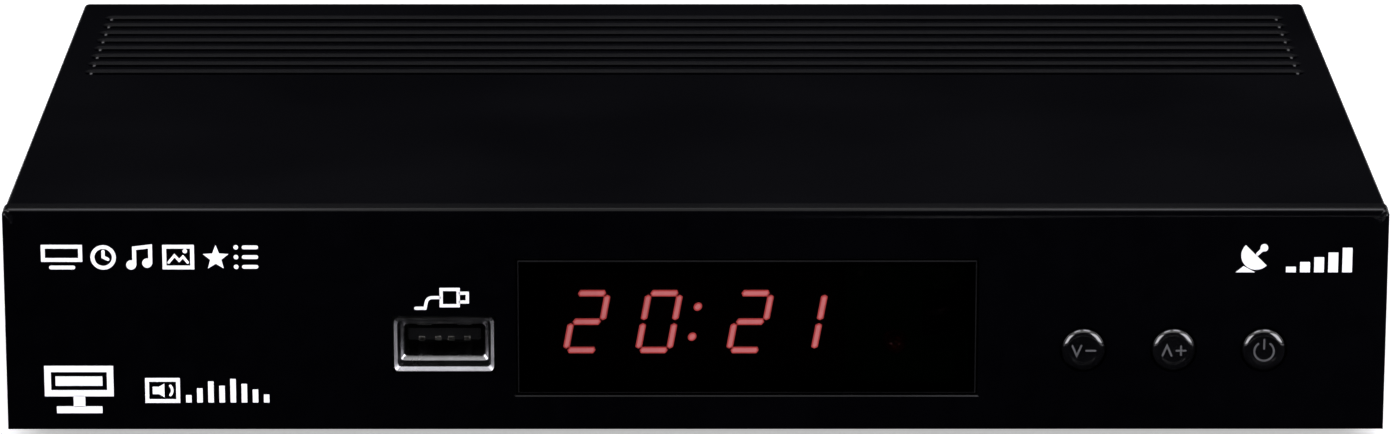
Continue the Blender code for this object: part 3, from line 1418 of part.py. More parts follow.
def tray_lips(tray):
    """Thin inner lips that stand up inside the cover's side walls."""
    outer = SHELL_INNER - CLEARANCE
    behind = (NECK_END + TRAY_LIP_END_GAP, PLATE_FRONT - TRAY_LIP_END_GAP)
    for index, side in enumerate((-1, 1)):
        edges = sorted((side * outer, side * (outer - TRAY_LIP)))
        lip = block(f"lip_{index}", edges, behind, (TRAY_FLOOR - OVERRUN, SPLIT_HEIGHT + TRAY_LIP_RISE))
        web_edges = sorted((side * (SHELL_INNER + OVERRUN), side * (outer - TRAY_LIP / 2)))
        web = block(f"lip_web_{index}", web_edges, behind, (TRAY_FLOOR - OVERRUN, SPLIT_HEIGHT - OVERRUN))
        fuse(lip, web)
        fuse(tray, lip)


def tray_screw_seats(tray):
    """Bosses under the cover's posts, counterbored from below for the screw heads."""
    hole = COVER_SCREW["shank"] + CLEARANCE
    head = COVER_SCREW["head"] + CLEARANCE
    seat = BASE_STEP + COUNTERBORE_DEPTH
    for index, (across, behind) in enumerate(post_places()):
        start = at(across, behind, TRAY_FLOOR - OVERRUN)
        height = SPLIT_HEIGHT - TRAY_FLOOR + OVERRUN
        fuse(tray, rod(f"tray_boss_{index}", TRAY_BOSS_RADIUS, start, height, steps=SMALL_STEPS))
        below = at(across, behind, BASE_STEP - OVERRUN)
        through = SPLIT_HEIGHT - BASE_STEP + 2 * OVERRUN
        cut(
            tray,
            rod(f"tray_bore_{index}", hole, below, through, steps=SMALL_STEPS),
            rod(f"counterbore_{index}", head, below, seat - BASE_STEP + OVERRUN, steps=SMALL_STEPS),
        )
        screw_seat = at(across, behind, seat - CLEARANCE)
        screw(f"cover_screw_{index + 1}", COVER_SCREW, screw_seat, (math.pi, 0, 0))


def tray_standoffs(tray):
    """The four pillars that the main board is screwed to."""
    hole = BOARD_SCREW["shank"] + CLEARANCE
    height = STANDOFF_HEIGHT + OVERRUN
    for index, (across, behind) in enumerate(board_screw_places()):
        start = at(across, behind, TRAY_FLOOR - OVERRUN)
        fuse(tray, rod(f"standoff_{index}", STANDOFF_RADIUS, start, height, steps=SMALL_STEPS))
        bore = at(across, behind, TRAY_FLOOR)
        cut(tray, rod(f"standoff_bore_{index}", hole, bore, height, steps=SMALL_STEPS))


def foot_places():
    side = SHELL_SIDE - FOOT_INSET
    rear = BODY_DEPTH - FOOT_INSET
    return (-side, FOOT_INSET), (side, FOOT_INSET), (-side, rear), (side, rear)


def feet(tray):
    """Four rubber feet, each seated in a shallow recess of the tray."""
    names = ("front_left", "front_right", "rear_left", "rear_right")
    for name, (across, behind) in zip(names, foot_places()):
        below = at(across, behind, BASE_STEP - OVERRUN)
        cut(tray, rod(f"foot_recess_{name}", FOOT_RADIUS + CLEARANCE, below, FOOT_RECESS + OVERRUN))
        top = FOOT_DROP + BASE_STEP + FOOT_RECESS - CLEARANCE
        sole = FOOT_RADIUS - FOOT_TAPER
        profile = [(0, top), (FOOT_RADIUS, top), (FOOT_RADIUS, FOOT_TAPER), (sole, 0), (0, 0)]
        foot = turned(f"foot_{name}", profile, at(across, behind, -FOOT_DROP), steps=ROUND_STEPS)
        finish(foot, RUBBER_BLACK)


def base_tray():
    tray = folded_shell("base_tray", (BASE_STEP, SPLIT_HEIGHT), 1, TRAY_EDGE, COVER_EDGE_STEPS)
    tray_lips(tray)
    tray_screw_seats(tray)
    tray_standoffs(tray)
    feet(tray)
    floor = (BASE_STEP - OVERRUN, TRAY_FLOOR + OVERRUN)
    openings = []
    first = -VENT_PITCH * (TRAY_VENT_COUNT - 1) / 2
    for index in range(TRAY_VENT_COUNT):
        across = around(first + index * VENT_PITCH, VENT_WIDTH)
        openings.append((across, around(PROCESSOR_BEHIND, TRAY_VENT_LENGTH), floor))
    lug_start = BEZEL_RIM + LUG_SETBACK - CLEARANCE
    lug_slot = (lug_start, lug_start + LUG_THICKNESS + 2 * CLEARANCE)
    for share in LUG_PLACES_SHARES:
        openings.append((around(share * PANEL_WIDTH, LUG_WIDTH + 2 * CLEARANCE), lug_slot, floor))
    side = SHELL_INNER - CLEARANCE
    groove = (PLATE_FRONT - CLEARANCE, PLATE_BACK + CLEARANCE)
    openings.append(((-side, side), groove, (TRAY_FLOOR - PLATE_GROOVE, TRAY_FLOOR + OVERRUN)))
    cut(tray, blocks("tray_openings", openings))
    return finish(tray, SATIN_BLACK)


front_bezel()
display_window()
digit_module()
ir_receiver()
standby_led()
push_buttons()
front_board()
usb_socket()
main_board()
chips()
heat_sink()
power_parts()
card_reader()
front_ribbon()
tuner_can()
for connector_name, connector_across in coax_places():
    f_connector(connector_name, connector_across)
    f_nut(connector_name, connector_across)
hdmi_socket()
scart_socket()
digital_audio_jack()
dc_jack()
rear_panel()
top_cover()
base_tray()
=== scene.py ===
import math

import bmesh
import bpy
from mathutils import Matrix, Vector


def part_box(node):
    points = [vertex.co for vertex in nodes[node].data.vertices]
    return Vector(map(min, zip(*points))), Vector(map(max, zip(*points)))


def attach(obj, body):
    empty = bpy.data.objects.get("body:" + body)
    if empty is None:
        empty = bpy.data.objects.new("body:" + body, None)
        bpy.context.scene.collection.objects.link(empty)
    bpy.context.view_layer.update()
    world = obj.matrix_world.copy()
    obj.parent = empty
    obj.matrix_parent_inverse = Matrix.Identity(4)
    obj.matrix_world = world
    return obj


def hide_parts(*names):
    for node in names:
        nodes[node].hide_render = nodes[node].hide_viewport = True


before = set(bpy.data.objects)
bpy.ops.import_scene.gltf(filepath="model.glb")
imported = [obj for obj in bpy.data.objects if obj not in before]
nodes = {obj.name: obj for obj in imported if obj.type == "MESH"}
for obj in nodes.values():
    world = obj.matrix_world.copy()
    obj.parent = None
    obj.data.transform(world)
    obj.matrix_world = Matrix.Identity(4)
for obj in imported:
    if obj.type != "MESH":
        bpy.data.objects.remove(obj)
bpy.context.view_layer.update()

# Base tray
# The lower half of the housing: black ABS, injection moulded in an etched tool, so that its outside has a
# fine matt grain. Standoffs for the boards, seats for the screws and lips for the cover are moulded in.


def shader_group(name, inputs, outputs):
    """An empty shader group, its sockets listed by their kind, and the sockets at its two ends."""
    group = bpy.data.node_groups.new(name, "ShaderNodeTree")
    for side, kinds in (("INPUT", inputs), ("OUTPUT", outputs)):
        for kind, labels in kinds.items():
            for label in labels:
                group.interface.new_socket(name=label, in_out=side, socket_type=f"NodeSocket{kind}")
    return group, group.nodes.new("NodeGroupInput").outputs, group.nodes.new("NodeGroupOutput").inputs


def shader_node(tree, kind, feeds=(), **settings):
    """One node of a tree; feeds gives a value or another node's socket to each of its inputs."""
    node = tree.nodes.new(f"ShaderNode{kind}")
    for label, value in settings.items():
        setattr(node, label, value)
    for place, source in dict(feeds).items():
        if isinstance(source, bpy.types.NodeSocket):
            tree.links.new(source, node.inputs[place])
        else:
            node.inputs[place].default_value = source
    return node


def reckon(tree, operation, *terms):
    """The result of one step of arithmetic."""
    return shader_node(tree, "Math", enumerate(terms), operation=operation).outputs[0]


def from_to(tree, share, low, high, start=0.0, end=1.0):
    """A number that runs from low to high while share runs from start to end."""
    feeds = {"Value": share, "From Min": start, "From Max": end, "To Min": low, "To Max": high}
    return shader_node(tree, "MapRange", feeds).outputs["Result"]


def tint(tree, share, first, second):
    """A colour between two others."""
    return shader_node(tree, "Mix", {0: share, 6: first, 7: second}, data_type="RGBA").outputs[2]


def object_place(tree):
    """Where a point of the piece is, in metres."""
    return shader_node(tree, "TexCoord").outputs["Object"]


def place_parts(tree):
    """The three parts of that place."""
    return shader_node(tree, "SeparateXYZ", {0: object_place(tree)}).outputs


surface, given, result = shader_group(
    "Worked surface",
    {"Vector": ["Stretch"], "Color": ["Deep", "Pale"], "Float": ["Grain", "Patches", "Smooth", "Rough"]},
    {"Color": ["Color"], "Float": ["Roughness", "Height"]},
)
place = object_place(surface)
drawn = shader_node(surface, "VectorMath", {0: place, 1: given["Stretch"]}, operation="MULTIPLY")
fine = shader_node(surface, "TexNoise", {"Vector": drawn.outputs[0], "Scale": given["Grain"], "Detail": 3.0})
broad = shader_node(surface, "TexNoise", {"Vector": place, "Scale": given["Patches"], "Detail": 2.0})
fine_share = from_to(surface, fine.outputs["Fac"], 0.0, 1.0, 0.3, 0.7)
broad_share = from_to(surface, broad.outputs["Fac"], 0.0, 1.0, 0.35, 0.65)
tone_share = reckon(surface, "MULTIPLY_ADD", fine_share, 0.5, reckon(surface, "MULTIPLY", broad_share, 0.5))
rough_share = reckon(surface, "MULTIPLY_ADD", fine_share, 0.3, reckon(surface, "MULTIPLY", broad_share, 0.7))
surface.links.new(tint(surface, tone_share, given["Deep"], given["Pale"]), result["Color"])
roughness = from_to(surface, rough_share, given["Smooth"], given["Rough"])
surface.links.new(roughness, result["Roughness"])
surface.links.new(fine.outputs["Fac"], result["Height"])


def shader_sockets(material):
    """The sockets of a material's surface shader."""
    return material.node_tree.nodes["Principled BSDF"].inputs


def plain_material(name, look):
    """A new material, with values for its surface shader."""
    material = bpy.data.materials.new(name)
    material.use_nodes = True
    for label, value in look.items():
        shader_sockets(material)[label].default_value = value
    return material


def worked(material, output="Color"):
    """What a material's own worked surface gives."""
    return material.node_tree.nodes["Surface"].outputs[output]


def made_of(name, *solids, noise, rough, tones, relief=0.00001, metallic=0, specular=0.5, stretch=(1, 1, 1)):
    """A material whose colour, roughness and relief come from the worked surface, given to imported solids.

    noise has the scales of the fine and of the broad noise. The roughness runs between the two numbers of
    rough and the colour between the two tones. relief is the depth of the grain in metres.
    """
    material = plain_material(name, {"Metallic": metallic, "Specular IOR Level": specular})
    tree, sockets = material.node_tree, shader_sockets(material)
    look = {"Stretch": stretch, "Deep": (*tones[0], 1), "Pale": (*tones[1], 1)}
    look |= {"Grain": noise[0], "Patches": noise[1], "Smooth": rough[0], "Rough": rough[1]}
    shader_node(tree, "Group", look, node_tree=surface).name = "Surface"
    feeds = {"Height": worked(material, "Height"), "Distance": relief, "Strength": 1}
    bump = shader_node(tree, "Bump", feeds)
    bump.name = "Relief"
    tree.links.new(bump.outputs["Normal"], sockets["Normal"])
    tree.links.new(worked(material), sockets["Base Color"])
    tree.links.new(worked(material, "Roughness"), sockets["Roughness"])
    give(material, *solids)
    return material


def give(material, *solids):
    """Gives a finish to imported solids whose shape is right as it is."""
    for name in solids:
        nodes[name].data.materials.clear()
        nodes[name].data.materials.append(material)


def overlay(material, share, color):
    """Lays another colour over the material's own, where share is one."""
    base = shader_sockets(material)["Base Color"]
    laid = tint(material.node_tree, share, base.links[0].from_socket, (*color, 1))
    material.node_tree.links.new(laid, base)


etched_plastic = made_of(
    "etched black plastic", "base_tray", noise=(3200, 18), rough=(0.33, 0.42), relief=0.00002,
    specular=0.06, tones=((0.0007, 0.0007, 0.0012), (0.0016, 0.0016, 0.0025)),
)

# Feet
# Four round rubber pads, moulded in black and pressed into round recesses under the tray. The sole is
# dull and picks up a little dust.
made_of(
    "foot rubber", "foot_front_left", "foot_front_right", "foot_rear_left", "foot_rear_right",
    noise=(1800, 260), rough=(0.78, 0.95), relief=0.00008, specular=0.3,
    tones=((0.012, 0.012, 0.012), (0.034, 0.033, 0.031)),
)

# Main board and front board
# Glass-fibre boards, 1.6 mm thick, under a green solder mask that stands over the etched copper. Plated
# holes show as bright dots. The main board is screwed to the tray, the front board to the bezel.
board_results = {"Float": ["Copper", "Holes"]}
board_print, given, result = shader_group("Printed board", {"Vector": ["Place"]}, board_results)
parts = shader_node(board_print, "SeparateXYZ", {0: given["Place"]}).outputs
cells = {"Vector": given["Place"], "Scale": 75.0, "Randomness": 0.8}
districts = shader_node(board_print, "TexVoronoi", cells, distance="CHEBYCHEV")
chance = shader_node(board_print, "SeparateColor", {0: districts.outputs["Color"]}).outputs
half_pitch, half_track = 0.0007, 0.0002
lines_along, lines_across = [
    reckon(board_print, "LESS_THAN", reckon(board_print, "PINGPONG", parts[axis], half_pitch), half_track)
    for axis in "YX"
]
turned_share = reckon(board_print, "GREATER_THAN", chance["Red"], 0.5)
both = shader_node(board_print, "Mix", {0: turned_share, 2: lines_along, 3: lines_across}).outputs[0]
tracks = reckon(board_print, "MULTIPLY", both, reckon(board_print, "GREATER_THAN", chance["Green"], 0.3))
poured = reckon(board_print, "LESS_THAN", chance["Blue"], 0.3)
board_print.links.new(reckon(board_print, "MAXIMUM", tracks, poured), result["Copper"])
holes = shader_node(board_print, "TexVoronoi", {"Vector": given["Place"], "Scale": 260.0})
board_print.links.new(reckon(board_print, "LESS_THAN", holes.outputs["Distance"], 0.13), result["Holes"])


def circuit_board(name, turn):
    """The solder mask over its copper; turn lays the tracks in the board's own plane."""
    material = made_of(
        name, noise=(5000, 70), rough=(0.28, 0.42), relief=0.00002,
        tones=((0.006, 0.045, 0.018), (0.01, 0.07, 0.028)),
    )
    tree = material.node_tree
    turned_place = shader_node(tree, "Mapping", {"Vector": object_place(tree), "Rotation": turn})
    printed = shader_node(tree, "Group", {"Place": turned_place.outputs[0]}, node_tree=board_print).outputs
    overlay(material, printed["Copper"], (0.022, 0.135, 0.055))
    overlay(material, printed["Holes"], (0.52, 0.5, 0.46))
    tree.links.new(printed["Holes"], shader_sockets(material)["Metallic"])
    height = reckon(tree, "MAXIMUM", printed["Copper"], worked(material, "Height"))
    tree.links.new(height, tree.nodes["Relief"].inputs["Height"])
    return material


give(circuit_board("main board mask", (0.0, 0.0, 0.0)), "main_board")
give(circuit_board("front board mask", (math.radians(-90), 0.0, 0.0)), "front_board")

# Processor, memory and flash chips
# Black epoxy packages, moulded with a matt top and marked with nothing here. The flash chip stands on two
# rows of tinned leads, bent from flat strip.
made_of(
    "chip epoxy", "processor", "memory_chip_1", "memory_chip_2", "flash_chip", noise=(6000, 300),
    rough=(0.5, 0.68), relief=0.00002, tones=((0.013, 0.013, 0.014), (0.026, 0.026, 0.028)),
)
tinned_strip = made_of(
    "tinned strip", noise=(4000, 700), rough=(0.28, 0.45), metallic=1,
    tones=((0.46, 0.46, 0.45), (0.62, 0.62, 0.6)),
)


def block(mesh, low, high):
    """A box between two corners, added to a mesh; its vertices are handed back."""
    low, high = Vector(low), Vector(high)
    matrix = Matrix.Translation((low + high) / 2) @ Matrix.Diagonal((*(high - low), 1))
    return bmesh.ops.create_cube(mesh, size=1, matrix=matrix)["verts"]


def added(name, data):
    """A new object of the scene."""
    obj = bpy.data.objects.new(name, data)
    bpy.context.scene.collection.objects.link(obj)
    return obj


def placed(name, mesh, materials):
    """Turns a finished mesh into an object of the scene."""
    data = bpy.data.meshes.new(name)
    mesh.to_mesh(data)
    mesh.free()
    for material in materials:
        data.materials.append(material)
    return added(name, data)


def fit(name, mesh, materials, stands_for=(), body="receiver", crease=35):
    """Makes a piece of a finished mesh, with its body and the solids it stands for."""
    obj = placed(name, mesh, materials)
    obj.data.shade_smooth()
    obj.data.set_sharp_from_angle(angle=math.radians(crease))
    obj.modifiers.new("flat faces stay flat", "WEIGHTED_NORMAL").keep_sharp = True
    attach(obj, body)
    if stands_for:
        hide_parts(*stands_for)


flash_low, flash_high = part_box("flash_chip")
chip_height = Vector((0, 0, flash_low.z))
lead_pitch, lead_half = 0.0005, Vector((0, 0.0001, 0))
lead_rows = bmesh.new()
for edge, side in ((flash_low.x, -1), (flash_high.x, 1)):
    for index in range(24):
        start = chip_height + Vector((edge, flash_low.y + lead_pitch / 2 + lead_pitch * index, 0))
        for inner, outer, low, high in (
            (0.0, 0.0005, 0.0004, 0.00054),
            (0.0004, 0.001, -0.00027, -0.00013),
            (0.0004, 0.00052, -0.00027, 0.00054),
        ):
            near, far = sorted((side * inner, side * outer))
            corner = start - lead_half + Vector((near, 0, low))
            block(lead_rows, corner, start + lead_half + Vector((far, 0, high)))
fit("flash_chip_leads", lead_rows, [tinned_strip])

# Heat sink
# An extruded aluminium block with seven fins, clear anodised and held to the processor by thermal tape.
# The extrusion leaves fine lines along the fins.
made_of(
    "anodised extrusion", "heat_sink", noise=(900, 200), rough=(0.3, 0.48), relief=0.00003, metallic=1,
    stretch=(1, 0.02, 1), tones=((0.36, 0.37, 0.38), (0.52, 0.53, 0.54)),
)

# Capacitors, inductor and crystal
# Three aluminium cans in shrunk dark sleeves with a pale stripe on the negative side and a scored top that
# can give way. Beside them stand a pressed ferrite inductor and a nickel-plated crystal can.
sleeve = made_of(
    "shrunk sleeve", noise=(1500, 120), rough=(0.22, 0.36), relief=0.00003,
    tones=((0.01, 0.012, 0.03), (0.02, 0.024, 0.052)),
)
can_aluminium = made_of(
    "can aluminium", noise=(2200, 400), rough=(0.26, 0.4), relief=0.00002, metallic=1,
    tones=((0.48, 0.48, 0.48), (0.62, 0.62, 0.62)),
)


def spun(mesh, points, centre, axis, steps):
    """Spins a chain of points about an axis through a centre, and closes it at its poles."""
    chain = [mesh.verts.new(point) for point in points]
    lines = [mesh.edges.new(pair) for pair in zip(chain, chain[1:])]
    turn = {"cent": centre, "axis": axis, "angle": math.tau, "steps": steps}
    bmesh.ops.spin(mesh, geom=chain + lines, use_merge=True, **turn)
    bmesh.ops.remove_doubles(mesh, verts=mesh.verts, dist=1e-7)
    bmesh.ops.recalc_face_normals(mesh, faces=mesh.faces)


def middle_of(node):
    """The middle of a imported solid's box."""
    low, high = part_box(node)
    return (low + high) / 2


stripe_tree = sleeve.node_tree
can_parts = place_parts(stripe_tree)
first_can, can_spacing, stripe_half = middle_of("capacitor_1"), 0.011, 0.0011
can_offset = reckon(stripe_tree, "SUBTRACT", can_parts["X"], first_can.x)
off_line = reckon(stripe_tree, "PINGPONG", can_offset, can_spacing / 2)
near_front = reckon(stripe_tree, "LESS_THAN", off_line, stripe_half)
front_side = reckon(stripe_tree, "LESS_THAN", can_parts["Y"], first_can.y)
overlay(sleeve, reckon(stripe_tree, "MULTIPLY", near_front, front_side), (0.4, 0.42, 0.46))
for count in (1, 2, 3):
    low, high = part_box(f"capacitor_{count}")
    middle, radius = (low + high) / 2, (high.x - low.x) / 2
    crimp = low.z + 0.0014
    profile = [(0, low.z), (radius - 0.0003, low.z), (radius, low.z + 0.0003), (radius, crimp)]
    profile += [(radius - 0.0004, crimp + 0.0003), (radius, crimp + 0.0006), (radius, high.z - 0.0005)]
    profile += [(radius - 0.0002, high.z - 0.0001), (radius - 0.0006, high.z)]
    profile += [(radius - 0.0007, high.z - 0.0002), (0, high.z - 0.0002)]
    can = bmesh.new()
    points = [(middle.x + reach, middle.y, height) for reach, height in profile]
    spun(can, points, (middle.x, middle.y, 0), (0, 0, 1), 32)
    for face in can.faces:
        centre = face.calc_center_median()
        if centre.z > high.z - 0.0003 and (centre - middle).xy.length < radius - 0.0005:
            face.material_index = 1
    crown = Vector((middle.x, middle.y, high.z - 0.0002))
    for half in ((0.0002, 0.0022, 0.0001), (0.0022, 0.0002, 0.0001)):
        score = block(can, crown - Vector(half), crown + Vector(half))
        for face in {face for vert in score for face in vert.link_faces}:
            face.material_index = 1
    fit(f"sleeved_capacitor_{count}", can, [sleeve, can_aluminium], (f"capacitor_{count}",))

made_of(
    "pressed ferrite", "power_inductor", noise=(3500, 900), rough=(0.6, 0.85), relief=0.00006,
    tones=((0.03, 0.029, 0.028), (0.075, 0.072, 0.068)),
)

# Screws
# Steel screws with pan heads and a cross recess, zinc plated. Four hold the main board, two the front board
# and four come up through the tray into the cover.
zinc = made_of(
    "zinc plate", noise=(3000, 500), rough=(0.24, 0.42), relief=0.00002, metallic=1,
    tones=((0.42, 0.43, 0.44), (0.6, 0.61, 0.6)),
)
give(zinc, *[f"{kind}_screw_{count}" for kind in ("board", "cover") for count in (1, 2, 3, 4)])
give(zinc, "front_board_screw_1", "front_board_screw_2")

# Tuner can, card reader and rear panel
# Folded from galvanised sheet. The hot zinc froze in flat crystals a few millimetres wide, so the sheet
# shows a faint patchwork of tones, with rolling lines across it. The panel slides into the tray's groove.
spangle, given, result = shader_group("Zinc spangle", {"Float": ["Flakes"]}, {"Float": ["Flake"]})
flakes = shader_node(spangle, "TexVoronoi", {"Vector": object_place(spangle), "Scale": given["Flakes"]})
flake_share = shader_node(spangle, "SeparateColor", {0: flakes.outputs["Color"]}).outputs["Red"]
spangle.links.new(flake_share, result["Flake"])


def galvanised(name, flakes):
    """Galvanised sheet with crystals of one size, rolled from side to side."""
    material = made_of(
        name, noise=(700, 60), rough=(0.3, 0.42), relief=0.00002, metallic=1, stretch=(0.03, 1, 1),
        tones=((0.4, 0.405, 0.41), (0.54, 0.545, 0.55)),
    )
    tree = material.node_tree
    flake = shader_node(tree, "Group", {"Flakes": flakes}, node_tree=spangle).outputs["Flake"]
    overlay(material, reckon(tree, "MULTIPLY", flake, 0.25), (0.27, 0.28, 0.3))
    rough = reckon(tree, "MULTIPLY_ADD", flake, 0.08, worked(material, "Roughness"))
    tree.links.new(rough, shader_sockets(material)["Roughness"])
    return material


give(galvanised("galvanised can", 320.0), "tuner_can", "card_reader")
give(galvanised("galvanised panel", 210.0), "rear_panel")

# Aerial connectors and their nuts
# Turned from brass and nickel plated, with a 3/8-32 thread on the barrel and a pale insulator in the mouth.
# Each passes through the rear panel and is clamped there by a hexagonal nut.
nickel = made_of(
    "nickel plate", noise=(1600, 500), rough=(0.18, 0.32), metallic=1, stretch=(1, 0.2, 1),
    tones=((0.52, 0.5, 0.46), (0.68, 0.66, 0.61)),
)
insulator = made_of(
    "pale insulator", noise=(3000, 700), rough=(0.4, 0.55), relief=0.00002,
    tones=((0.55, 0.53, 0.48), (0.68, 0.66, 0.6)),
)
give(nickel, "crystal")


def turned_back(mesh, profile, across, height, steps):
    """Spins a profile of (radius, how far back) about a line that runs from front to back."""
    points = [(across + radius, back, height) for radius, back in profile]
    spun(mesh, points, (across, 0, height), (0, 1, 0), steps)


crest, root, thread_pitch, bore, flange = 0.0047, 0.00432, 0.000794, 0.0031, 0.0058
for name in ("in", "out"):
    low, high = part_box(f"f_connector_{name}")
    across, _, height = middle_of(f"f_connector_{name}")
    nut_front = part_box(f"f_nut_{name}")[0].y
    shoulder = nut_front - 0.0013
    profile = [(0, low.y), (0.0036, low.y), (0.0036, shoulder - 0.0007), (flange, shoulder - 0.0007)]
    profile += [(flange, shoulder), (0.0043, shoulder)]
    ridge = nut_front - 0.0003
    while ridge < high.y - 0.0012:
        for reach, share in ((root, 0), (crest, 0.4), (crest, 0.55), (root, 0.95)):
            profile.append((reach, ridge + share * thread_pitch))
        ridge += thread_pitch
    profile += [(0.0043, high.y - 0.0005), (0.0039, high.y), (bore + 0.0001, high.y), (bore, high.y - 0.0001)]
    profile += [(bore, high.y - 0.0052), (0, high.y - 0.0052)]
    barrel = bmesh.new()
    turned_back(barrel, profile, across, height, 48)
    fit(f"threaded_connector_{name}", barrel, [nickel], (f"f_connector_{name}",))
    plug = bmesh.new()
    mouth = high.y - 0.0008
    profile = [(0, high.y - 0.005), (0.00305, high.y - 0.005), (0.00305, mouth - 0.0001), (0.00295, mouth)]
    profile += [(0.001, mouth), (0.0006, mouth - 0.0004), (0.0006, mouth - 0.0036), (0, mouth - 0.0036)]
    turned_back(plug, profile, across, height, 32)
    fit(f"connector_insulator_{name}", plug, [insulator])
    give(nickel, f"f_nut_{name}")

# Video, scart, audio and power sockets
# Standard sockets soldered to the main board and reaching through the rear panel: a plated video shell with
# a black tongue, a black scart shroud, an orange audio jack with its plated sleeve, and the power jack.
black_moulding = made_of(
    "black moulding", noise=(2600, 150), rough=(0.38, 0.56), relief=0.00003,
    tones=((0.01, 0.01, 0.011), (0.021, 0.021, 0.023)),
)
bright_steel = made_of(
    "bright plated sheet", noise=(900, 220), rough=(0.14, 0.28), metallic=1, stretch=(1, 0.15, 1),
    tones=((0.58, 0.58, 0.575), (0.74, 0.74, 0.73)),
)
gilt = made_of(
    "gilt contact", noise=(3000, 900), rough=(0.2, 0.34), metallic=1,
    tones=((0.7, 0.48, 0.17), (0.84, 0.62, 0.27)),
)
jack_plastic = made_of(
    "orange moulding", noise=(2600, 160), rough=(0.36, 0.5), relief=0.00003,
    tones=((0.56, 0.135, 0.012), (0.72, 0.2, 0.025)),
)
give(black_moulding, "hdmi_tongue", "scart_socket")
give(bright_steel, "hdmi_shell")
scart_low, scart_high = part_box("scart_socket")
panel_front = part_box("rear_panel")[0].y
web = bmesh.new()
web_low = (scart_high.x - 0.005, panel_front - 0.0012, scart_low.z)
web_high = (scart_high.x, panel_front - 0.0001, scart_high.z)
for vert in block(web, web_low, web_high):
    if vert.co.z > scart_high.z - 1e-5 and vert.co.x < scart_high.x - 0.004:
        vert.co.x = scart_high.x - 0.0001
fit("scart_web", web, [black_moulding])


def partly_metal(material, metal, mask):
    """Lays a plated metal over part of a moulded piece, where mask is one."""
    tree, sockets = material.node_tree, shader_sockets(material)
    overlay(material, mask, metal)
    tree.links.new(mask, sockets["Metallic"])
    rough = shader_node(tree, "Mix", {0: mask, 2: worked(material, "Roughness"), 3: 0.24})
    tree.links.new(rough.outputs[0], sockets["Roughness"])


def from_axis(tree, across, height):
    """How far a point of the piece lies from a line that runs from front to back."""
    axis = (across, 0.0, height)
    offset = shader_node(tree, "VectorMath", {0: object_place(tree), 1: axis}, operation="SUBTRACT")
    flat = shader_node(tree, "VectorMath", {0: offset.outputs[0], 1: (1.0, 0.0, 1.0)}, operation="MULTIPLY")
    return shader_node(tree, "VectorMath", {0: flat.outputs[0]}, operation="LENGTH").outputs["Value"]


jack_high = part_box("digital_audio_jack")[1]
jack_mouth = [vert.co for vert in nodes["digital_audio_jack"].data.vertices if vert.co.y > jack_high.y - 1e-4]
jack_axis = []
for side in (0, 2):
    reaches = [spot[side] for spot in jack_mouth]
    jack_axis.append((min(reaches) + max(reaches)) / 2)
jack_tree = jack_plastic.node_tree
panel_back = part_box("rear_panel")[1].y
past_panel = reckon(jack_tree, "GREATER_THAN", place_parts(jack_tree)["Y"], panel_back - 0.0006)
in_sleeve = reckon(jack_tree, "GREATER_THAN", from_axis(jack_tree, *jack_axis), 0.0034)
partly_metal(jack_plastic, (0.66, 0.64, 0.6), reckon(jack_tree, "MULTIPLY", past_panel, in_sleeve))
give(jack_plastic, "digital_audio_jack")

power_plastic = black_moulding.copy()
power_plastic.name = "power jack moulding"
power_tree, pin = power_plastic.node_tree, middle_of("dc_jack")
pin_reach = from_axis(power_tree, pin.x, pin.z)
partly_metal(power_plastic, (0.64, 0.62, 0.58), reckon(power_tree, "LESS_THAN", pin_reach, 0.00115))
give(power_plastic, "dc_jack")

tongue, blade_half = middle_of("hdmi_tongue"), 0.00022
blade_contacts = bmesh.new()
for count in range(10):
    across, blade = tongue.x + (count - 4.5) * 0.001, tongue.z + 0.00065
    corner = (across - blade_half, 0.0552, blade)
    block(blade_contacts, corner, (across + blade_half, 0.0612, blade + 0.00006))
fit("video_contacts", blade_contacts, [gilt])

# Flat cable and its two sockets
# A grey flat cable, its conductors laid side by side under a soft sheath, runs from the front board down to
# the main board and is pushed into a pale nylon socket at each end. The creases between the conductors are
# coloured darker, a painted shade.
ribbon = made_of(
    "cable sheath", noise=(1400, 160), rough=(0.45, 0.6), relief=0.00012,
    tones=((0.4, 0.4, 0.42), (0.5, 0.5, 0.52)),
)
ribbon_tree = ribbon.node_tree
wire_half = 0.0005
off_wire = reckon(ribbon_tree, "PINGPONG", place_parts(ribbon_tree)["X"], wire_half)
wire_share = reckon(ribbon_tree, "DIVIDE", off_wire, wire_half)
ribbon_tree.links.new(wire_share, ribbon_tree.nodes["Relief"].inputs["Height"])
# Darker grey in the creases between the conductors: painted shade.
overlay(ribbon, from_to(ribbon_tree, wire_share, 1.0, 0.0, 0.0, 0.25), (0.24, 0.24, 0.26))
give(ribbon, "front_ribbon")
nylon = made_of(
    "natural nylon", "ribbon_socket_front", "ribbon_socket_main", noise=(2000, 260), rough=(0.36, 0.52),
    relief=0.00002, tones=((0.54, 0.5, 0.4), (0.66, 0.62, 0.51)),
)

# Tactile switches
# Square black moulded switches, soldered to the front board. Each has a pale nylon plunger, which the
# button's stem presses in by 0.5 mm against a small domed spring.
for name in ("down", "up", "power"):
    give(black_moulding, f"tact_switch_{name}")
    give(nylon, f"tact_plunger_{name}")
